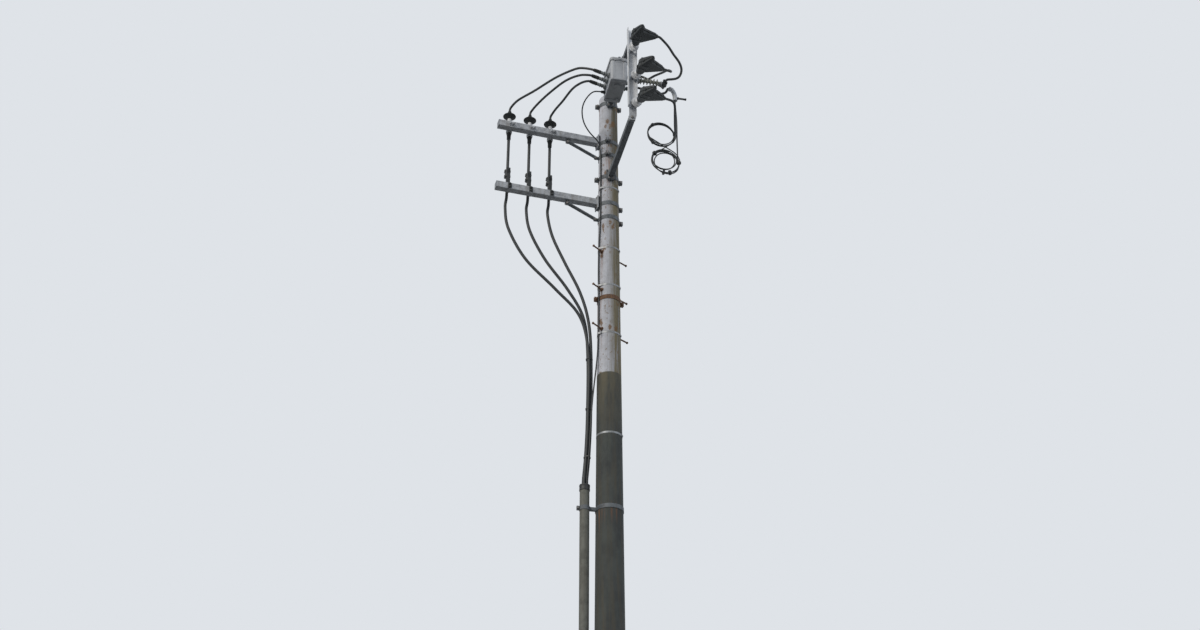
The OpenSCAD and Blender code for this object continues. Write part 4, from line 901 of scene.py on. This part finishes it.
piece("jumper_clamp", [lay(barrel, ALONG_Y), block("saddle", (-11, -16, 8), (11, 16, 28), 3, 3),
                       rod(12, 20, 42), hexagon(21, 27, 8), lay(eye, shift(0, 0, 42) @ ALONG_Y)],
      nylon, shift(CLAMP_X, RIBBED_Y, CLAMP_Z))

# ---- Switch, modelled round its own upright axis ----
AT_SWITCH = shift(SWITCH_X, SWITCH_Y)
TANK_TOP, RIM_H = SWITCH_TOP - 32.3, 6
BRIM_W, BRIM_L = HALF_W + 8, HALF_L + 8
tank = pressed_box("tank", (-HALF_W, -HALF_L, SWITCH_FOOT), (HALF_W, HALF_L, TANK_TOP - 2), 22, 7)
# a shallow pressed panel stiffens each side, and one the underside
with editing(tank):
    for border, slope, test in ((16, 4, lambda f: abs(f.normal.z) < 0.1),
                                (9, 3, lambda f: f.normal.z < -0.9)):
        select(tank, faces=lambda f: f.calc_area() > 0.02 and test(f))
        bpy.ops.mesh.inset(thickness=border * MM, depth=0)
        bpy.ops.mesh.inset(thickness=slope * MM, depth=-0.003)
plug = join("plug", [hexagon(26, -12, 12), rod(14, -4, 4)])
piece("switch_tank", [
    tank, pressed_box("rim", (-BRIM_W, -BRIM_L, TANK_TOP - RIM_H), (BRIM_W, BRIM_L, TANK_TOP),
                      30, 1),
    lay(turned("boss", [(30, -9), (34, -7), (35, 2)]), shift(0, -78, SWITCH_FOOT)),
    lay(plug, shift(40, 120, SWITCH_FOOT)),
    *spread(block("pad", (14 - HALF_W, -16, SWITCH_FOOT - 5), (HALF_W - 14, 16, SWITCH_FOOT + 4),
                  2), [shift(0, y) for y in (-150, 150)])], enamel, AT_SWITCH)
eye = turned("eye", [(8, -3), (10, -4), (17, -4), (18, -2), (18, 2), (17, 4), (10, 4), (8, 3)],
             28, hollow=True)
piece("switch_lid", [
    pressed_box("lid", (-BRIM_W, -BRIM_L, SWITCH_TOP - 32), (BRIM_W, BRIM_L, SWITCH_TOP), 30, 6),
    *spread(block("rib", (12 - HALF_W, -9, SWITCH_TOP - 3), (HALF_W - 12, 9, SWITCH_TOP + 0.2), 2),
            [shift(0, y) for y in (-35, 35)]),
    *spread(eye, [shift(0, y, SWITCH_TOP - 12) @ ALONG_Y for y in (-BRIM_L - 3, BRIM_L + 3)]),
    *spread(block("eye_foot", (-20, -4, SWITCH_TOP - 31), (20, 4, SWITCH_TOP - 20), 1.5),
            [shift(0, y) for y in (-BRIM_L - 0.5, BRIM_L + 0.5)])],
    enamel, AT_SWITCH)
spots = [(side * (HALF_W + 2.5), y) for side in (-1, 1) for y in (-150, -75, 0, 75, 150)]
spots += [(x, side * (HALF_L + 2.5)) for side in (-1, 1) for x in (-45, 45)]
nut = join("rim_nut", [hexagon(11, -5, 5), thread(6, -12, -4, 1.6)])
piece("switch_rim_bolts", spread(nut, [shift(x, y, TANK_TOP - RIM_H) for x, y in spots]),
      plated, AT_SWITCH)


def at_bushings(s=0):
    """The frames of the three bushings on the load's side and the line's three, +Z outwards."""
    return [shift(*bushing_place(i, side, s)) @ spin(side * (90 - BUSHING_RISE), "Y")
            for side in (-1, 1) for i in range(3)]


fin = [(17.4, 0), (19.5, 3), (23, 5.2), (23.8, 7), (23, 8.8), (19.5, 10.4), (17.4, 13)]
body = turned("body", [(27, -12), (29, -10), (29, 7), (27.5, 9.6), (20, 11.4), (17.4, 14),
                       (17, 19), *raised(fin, 25), (17, 43), *raised(fin, 49), (17, 66),
                       (17, 88), (15, 92)], 36)
boot = turned("boot", [
    (16.5, -1), (19.4, 0), (20.4, 2), (20.4, 6), (19, 8), (18.6, 30), (19, 32), (19, 36),
    (18.6, 38), (18.4, 50), (18, 57), (16.6, 66), (15.4, 70), (16.2, 71.5), (16.2, 74),
    (14.4, 75.5), (12.6, 75)])
screws = join("screws", spread(head(6, 11, 4, 1.5), [spin(a) @ shift(22.5, 0, 9)
                                                     for a in (45, 135, 225, 315)]))
bodies, screws = spread(body, at_bushings()), spread(screws, at_bushings())
boots = spread(boot, at_bushings(92.3))
for word, own in (("load", slice(0, 3)), ("line", slice(3, 6))):
    piece(f"{word}_bushings", bodies[own], silicone, angle=45)
    piece(f"{word}_bushing_bolts", screws[own], plated)
    piece(f"{word}_boots", boots[own], rubber, angle=45)

flutes = spread(block("flute", (11.8, -1.1, 19), (14.4, 1.1, 33), 0.5, 1),
                [spin(30 * k) for k in range(12)])
piece("control_gland", [
    turned("flange", [(19, -1), (20, 0), (20, 3), (18, 4)]), hexagon(34, 4, 15),
    turned("dome", [(13.4, 18), (13.6, 30), (12.6, 35), (10, 39), (8.4, 40.5), (7.4, 40.5)]),
    *flutes], nylon, shift(-167.3, -587, 12121) @ spin(-90, "Y"))

# two pressed channels across the lid, each with a bent U-bolt over the beam above
CHANNEL_TOP, U_TOP, U_X, BEND = 12369.7, 12436.3, 36.3, 20
leg = [(-U_X, 0, SWITCH_TOP + 4.3), (-U_X, 0, U_TOP - BEND)]
leg += [(BEND - U_X - BEND * math.cos(a), 0, U_TOP - BEND + BEND * math.sin(a))
        for a in [math.radians(15 * k) for k in range(1, 7)]]
hanger = [block("channel", (-167, -20, SWITCH_TOP + 0.3), (54.3, 20, CHANNEL_TOP), 2.5, 3),
          along(leg + [(-x, y, z) for x, y, z in reversed(leg)], 12)]
hanger += spread(head(13, 21, 10), [shift(x, 0, CHANNEL_TOP) for x in (-U_X, U_X)])
hanger += spread(head(12, 19, 7), [shift(x, 0, CHANNEL_TOP) for x in (-142, 24)])
piece("switch_hangers",
      spread(join("hanger", hanger), [shift(0, SWITCH_Y + y) for y in (-109.5, 109.5)]),
      zinc)

# ---- Cable terminations, their clamps, and the cleats below; +Y is the side arm's far face ----
upper = turned("upper", [
    (22, 12078), (30, 12086), (48, 12098), (62, 12106), (65.6, 12109.5), (66.4, 12112.5),
    (65.4, 12115.6), (61, 12118), (46, 12124), (32, 12131), (25, 12137), (23, 12145),
    (22.4, 12152), (23.4, 12154), (23.4, 12160), (21, 12163), (17, 12174), (16.6, 12180),
    (14, 12183)], 56)
lower = turned("lower", [(17, 11812), (19.6, 11813), (20.4, 11840), (21, 11862), (23, 11872),
                         (26, 11883), (26, 11890), (24, 11892)], 40)
tape = [turned("tape", [(r, z), (r + 1.2, z + 1.5), (r + 1.2, z + 12), (r, z + 13.5)], 40)
        for r, z in ((19.2, 11814), (19.6, 11830), (20.6, 11856))]
barrel = turned("barrel", [
    (24, 11886), (26, 11889), (26, 12010), (25.4, 12017), (28.5, 12024), (29.5, 12026.5),
    (28.5, 12029), (23.6, 12034), (22.4, 12046), (26, 12051), (27, 12053.4), (26, 12056),
    (21, 12061), (20, 12076), (18, 12086)], 40)
places = [shift(*term_place(i, 0)) for i in range(3)]
for word, black, white in zip(("inner", "middle", "outer"),
                              spread(join("black", [upper, lower, *tape]), places),
                              spread(barrel, places)):
    piece(f"termination_{word}", [black], rubber, angle=45)
    piece(f"termination_barrel_{word}", [white], porcelain, angle=45)

# a bolt through a side arm, with its nut on the plate behind
ARM_NUT = 42.8
arm_bolt = join("arm_bolt", [lay(nut_end(12, 9), shift(0, ARM_NUT) @ ALONG_Y),
                             lay(rod(12, -38, 45), ALONG_Y)])
ring = turned("ring", [(26.3, -20), (31.3, -19), (31.3, 19), (26.3, 20)], 48, hollow=True)
bracket = join("bracket", [
    lay(ring, shift(0, TERM_SIDE)),
    block("arm", (-25, TERM_SIDE + 28, -20), (25, TERM_SIDE + 51.7, 20), 2, 3),
    lay(bolt(10, 18, 8), shift(9, TERM_SIDE - 42) @ ALONG_X),
    block("washer_plate", (-28, ARM_NUT - 5, -20), (28, ARM_NUT, 20), 1.2),
    *spread(block("ear", (0, TERM_SIDE - 53, -20), (5, TERM_SIDE - 27, 20), 1.5),
            [shift(x) for x in (-9, 4)]),
    *[twin(arm_bolt, shift(x)) for x in (-15, 15)]])
piece("termination_brackets", spread(bracket, [SIDE @ shift(s, 0, UPPER_ARM) for s in TERM_S]),
      zinc)

CLEAT_FOOT, CLEAT_H = 11325, 95
shell = turned("shell", [
    (16.4, 0), (24, 0.4), (30, 3), (33, 8), (33.4, 16), (33, 24), (31, 29), (28, 33), (27.4, 47),
    (28, 62), (31, 66), (33, 71), (33.4, 79), (32.6, 87), (29, 92), (23, 94.6),
    (16.4, CLEAT_H)], 40)
lug = join("lug", [lay(bolt(8, 40, 5), shift(20, -28) @ ALONG_X),
                   block("lug", (-20, -36, -9), (20, -20, 9), 2)])
clamp = join("clamp", [shell, block("joint", (-1.4, -30, 2), (1.4, 30, 93), 0.8),
                       block("saddle", (-19, 20, 20), (19, 51.7, 75), 2.5, 3),
                       *spread(lug, [shift(0, 0, z) for z in (15, 80)])])
cleat = join("cleat", [
    lay(clamp, shift(0, TERM_SIDE, CLEAT_FOOT)),
    block("bar", (-19, -43.8, 11106.5), (19, -37.8, CLEAT_FOOT + CLEAT_H), 1.5),
    block("washer_plate", (-19, ARM_NUT - 5, LOWER_ARM - 31), (19, ARM_NUT, LOWER_ARM + 31), 1.2),
    *spread(arm_bolt, [shift(0, 0, LOWER_ARM + z) for z in (-17, 17)])])
piece("cable_cleats", spread(cleat, [SIDE @ shift(s) for s in TERM_S]), nylon)

# ---- Arms: bumpy weld beads where tube meets plate, and all the bolts ----
# each arm's frame, height and width, its beads' width, and the plates that it is welded to
ARMS = ((SIDE, UPPER_ARM, SIDE_W, 6.5, (124.7,)), (SIDE, LOWER_ARM, SIDE_W, 6.5, (129.9,)),
        (D_ARM, D_UPPER, BEAM_W, 6, (121.3, D_REACH - 11)),
        (D_ARM, D_LOWER, BEAM_W, 6, (127.7, D_REACH - 23)))
welds = []
for arm, z, width, bead_d, plates in ARMS:
    for plate in plates:
        bead = along(square_loop(width / 2 + 1, 8, plate + 1), bead_d, 0.12, True)
        welds.append(lay(bead, arm @ shift(0, 0, z)))
for z in (UPPER_ARM, LOWER_ARM):
    for y in (-4, 4):
        line = [(x, y, z - SIDE_W / 2 - 0.5) for x in range(419, 462, 4)]
        welds.append(lay(along(line, 5.5, 0.12), SIDE))
piece("arm_welds", welds, zinc)

ear_bolt = bolt(16, 26, 14)
for name, finish, slot, rusty in (("band_bolts", plated, "galvanised_steel", False),
                                  ("step_band_bolts", rust, "weathered_steel", True)):
    piece(name, [twin(ear_bolt, spin(turn) @ shift(pole_r(z) + EAR_BOLT, -13, z) @ BACK_Y)
                 for z, ears in BANDS if (z == STEP_BAND) == rusty for turn in ears], finish)
bpy.data.objects.remove(ear_bolt)

spots = []
for z in (UPPER_ARM, LOWER_ARM):
    for x, height in ((440, z - SIDE_W / 2 - 28), (pole_r(z - 205) + 34, z - 205)):
        spots.append(SIDE @ shift(x, 8.3, height) @ ALONG_Y)
piece("tie_bolts", spread(bolt(14, 11.6, 8), spots), plated)

spots = [arm @ shift(plates[0], y, z + side * (width / 2 + 14)) @ ALONG_X
         for arm, z, width, _, plates in ARMS for y in (-20, 20) for side in (-1, 1)]
piece("plate_bolt_heads", spread(head(12.5, 21, 8), spots), plated)

WEB_BOLTS = (D_UPPER - 47, D_UPPER + 47, 11616)
spots = [shift(0, y, z) @ BACK_Y
         for y, z in [(WIRE_Y, z) for z in WEB_BOLTS] + [(-1078.3, D_LOWER)]]
piece("web_bolt_heads", spread(head(17, 28, 10.4), spots), plated)
piece("web_bolt_nuts", spread(nut_end(16, 9), [shift(0, -1069, z) @ ALONG_Y for z in WEB_BOLTS]),
      plated)

# step bolts: nut and washer on the pole, a plain shank, and a wide upset head
step = join("step", [
    washer(21, 0, 3), hexagon(30.4, 3, 10), thread(16, 12, 34, 2.2), rod(15.6, 33, 136),
    turned("end", [(8, 130), (12, 132), (12.4, 134), (12.4, 137.5), (11, 140)], 24)])
piece("step_bolts", spread(step, [spin(turn) @ shift(pole_r(z) + 0.3, 0, z) @ ALONG_X
                                  for z in STEPS for turn in STEP_TURNS]), rust)

# ---- Steel straps: each lies round the pole and whatever cable passes under it ----


def tight_line(rounds, step=3):
    """Points of a tight line round some upright round things, given as x, y and radius."""
    turns = [math.radians(step * k) for k in range(360 // step + 1)]
    reach = [max(x * math.cos(a) + y * math.sin(a) + r for x, y, r in rounds) for a in turns]
    points = []
    for a, away, further in zip(turns, reach, reach[1:]):
        slope = (further - away * math.cos(turns[1])) / math.sin(turns[1])
        points.append(Vector((away * math.cos(a) - slope * math.sin(a),
                              away * math.sin(a) + slope * math.cos(a), 0)))
    return points


def strip(z, height, thickness, rounds):
    """A flat strip pulled tight round some upright round things."""
    points = tight_line(rounds)
    ob = begin(bpy.ops.mesh.primitive_circle_add, "strip", vertices=len(points), radius=0.1)
    for v, p in zip(ob.data.vertices, points):
        v.co = (p + Vector((0, 0, z - height / 2))) * MM
    with editing(ob):
        bpy.ops.mesh.extrude_edges_move(TRANSFORM_OT_translate={"value": (0, 0, height * MM)})
        bpy.ops.mesh.select_all(action="SELECT")
        bpy.ops.mesh.normals_make_consistent(inside=False)
    return modifier(ob, "SOLIDIFY", thickness=thickness * MM, offset=1)


# each strap's height, and the turn and distance of the control cable under it
strips, spots = [], []
for z, *cable in ((8483,), (9572, 203, 13.5), (10120, 204.6, 14.2), (10560, 205.3, 14.6),
                  (11300, 214, 12.5)):
    rounds = [(0, 0, pole_r(z) + 0.4)]
    if cable:
        rounds.append((*on_pole(z, *cable).xy, THIN_D / 2 + 0.3))
    strips.append(strip(z, 19, 1.2, rounds))
    spots.append(spin(330) @ shift(pole_r(z) + 1.4, 0, z))
# the folded buckle and the strap's bent-back end, on the side away from the cables
buckle = join("buckle", [block("body", (0, -14, -12), (5, 14, 12), 1.4),
                         block("tongue", (4, -9, -9), (7.4, 16, 9), 1.2)])
piece("cable_straps", strips + spread(buckle, spots), stainless)

# black ties hold the drop cables together above the riser, the lowest the control cable too
strips, spots = [], []
for z, x_in, x_out, *more in ((9300, -176, -205), (8760, -178, -206),
                              (8250, -193.5, -221.5, (-203.5, -41.5, 7.2))):
    rounds = [(x_in, 0, 15.2), (x_out, 16, 15.2), (x_out, -16, 15.2), *more]
    strips.append(strip(z, 12, 2, rounds))
    spots.append(shift(x_out, 0, z))
lock = block("lock", (-22, -7, -8), (-14.5, 7, 8), 1.5)
piece("bundle_ties", strips + spread(lock, spots), nylon)

# ---- Riser: mouth with a rolled lip, sockets, and the clamps' bolts ----
mouth = turned("mouth", [
    (44.9, -50), (48.6, -50), (49.5, -48), (49.5, -34), (48.4, -32), (48.4, -6), (49.5, -4),
    (49.5, 4), (48, 7.4), (45, 8.4), (41.5, 7.6), (39.6, 4), (39.5, 0.4), (44.9, 0.2)], 56,
    hollow=True)
screws = spread(hexagon(12, 0, 6), [spin(a) @ shift(47.5, 0, -20) @ ALONG_X
                                    for a in (200, 320, 80)])
piece("riser_mouth", [mouth, *screws], nylon, shift(RISER_X, 0, RISER_H))
socket = turned("socket", [(44.6, -36), (50, -35), (51.4, -33), (51.4, 33), (50, 35), (44.6, 36)],
                48, hollow=True)
piece("riser_sockets", spread(socket, [shift(RISER_X, 0, z) for z in (4350, 650)]), pipe)
piece("riser_ring_bolts", spread(bolt(10, 16, 8), [shift(RISER_X - 60.8, -8, z) @ BACK_Y
                                                   for z in CLAMPS]), plated)

# ---- The mortar cap: a trowelled dome ----
r = pole_r(POLE_H) - 3
dome = turned("dome", [(r - 1, -0.5), (r, 1), (r, 7)] + [(r * share, z) for share, z in (
    (0.985, 9.5), (0.93, 13), (0.8, 18), (0.6, 22.4), (0.35, 25.2), (0.12, 26))], 64)
piece("pole_cap", [dome], mortar, shift(0, 0, POLE_H), 40)

# ---- Frame nodes that keep their shape ----
# the beams', ties' and bands' zinc is painted darker, a painted shade for their faces turned from
# the light
# the upright's zinc is painted paler, a painted highlight for its lit face
for finish, names in (
        (zinc, "upper_side_arm lower_side_arm d_lower_joint"), (lit_zinc, "d_upright"),
        (shaded_zinc, "d_upper_beam d_lower_beam upper_arm_tie lower_arm_tie upper_arm_bands "
                    "lower_arm_bands d_upper_band d_lower_band riser_bands"),
        (rust, "step_band"), (cap_plastic, "side_arm_caps"), (pipe, "riser_conduit")):
    for name in names.split():
        nodes[name].material_slots[0].material = finish

# ---- The pole: rings every 40 mm, two mould seams, and rust that runs down from the steel ----
POLE_SIDES, POLE_RINGS = 128, 312
# the two halves of the mould leave a seam 6 mm wide on each side
SEAMS = (68, 248)


def azimuth(v):
    return math.degrees(math.atan2(v.y, v.x)) % 360


pole = begin(bpy.ops.mesh.primitive_cone_add, "pole_spun_shaft", vertices=POLE_SIDES,
             radius1=pole_r(0) * MM, radius2=pole_r(POLE_H) * MM, depth=POLE_H * MM,
             location=(0, 0, POLE_H * MM / 2))
with editing(pole):
    select(pole, edges=lambda e: abs(e.verts[0].co.z - e.verts[1].co.z) > 1)
    bpy.ops.mesh.subdivide(number_cuts=POLE_RINGS)
    select(pole, faces=lambda f: abs(f.normal.z) < 0.5 and any(
        abs(azimuth(f.calc_center_median()) - seam) < 180 / POLE_SIDES for seam in SEAMS))
    bpy.ops.mesh.extrude_region_shrink_fatten(TRANSFORM_OT_shrink_fatten={"value": 0.0012})

# what rusts: azimuth, height where a run starts, its width in degrees, its length in m, its depth
runs = []
draw = random.Random(7)


def let_run(count, turn, sway, top, widths, lengths, depths):
    """Draws some runs that start at one height."""
    for _ in range(count):
        runs.append((turn + draw.uniform(-sway, sway), top, draw.uniform(*widths),
                     draw.uniform(*lengths), draw.uniform(*depths)))


for z in STEPS:
    for turn in STEP_TURNS:
        let_run(3, turn, 5, z * MM, (2, 5), (0.15, 0.55), (0.5, 1))
for z, ears in BANDS:
    under_band = z * MM - 0.02
    for turn in ears:
        let_run(3, turn, 9, under_band, (2, 6), (0.12, 0.5), (0.5, 1))
    let_run(9, 180, 180, under_band, (1.5, 4.5), (0.05, 0.34), (0.3, 0.85))
mesh = pole.data
depths = [0.0] * len(mesh.vertices)
for turn, top, width, length, depth in runs:
    for v in mesh.vertices:
        down = (top - v.co.z) / length
        if 0 <= down < 1:
            off = (azimuth(v.co) - turn + 180) % 360 - 180
            width_here = width * (1 - 0.5 * down)
            if abs(off) < 3 * width_here:
                share = depth * math.exp(-(off / width_here) ** 2) * (1 - down) ** 1.3
                depths[v.index] = max(depths[v.index], share)
mesh.attributes.new("rust_runs", "FLOAT", "POINT").data.foreach_set("value", depths)
piece("pole_spun_shaft", [pole], concrete, stands_for="pole_shaft")
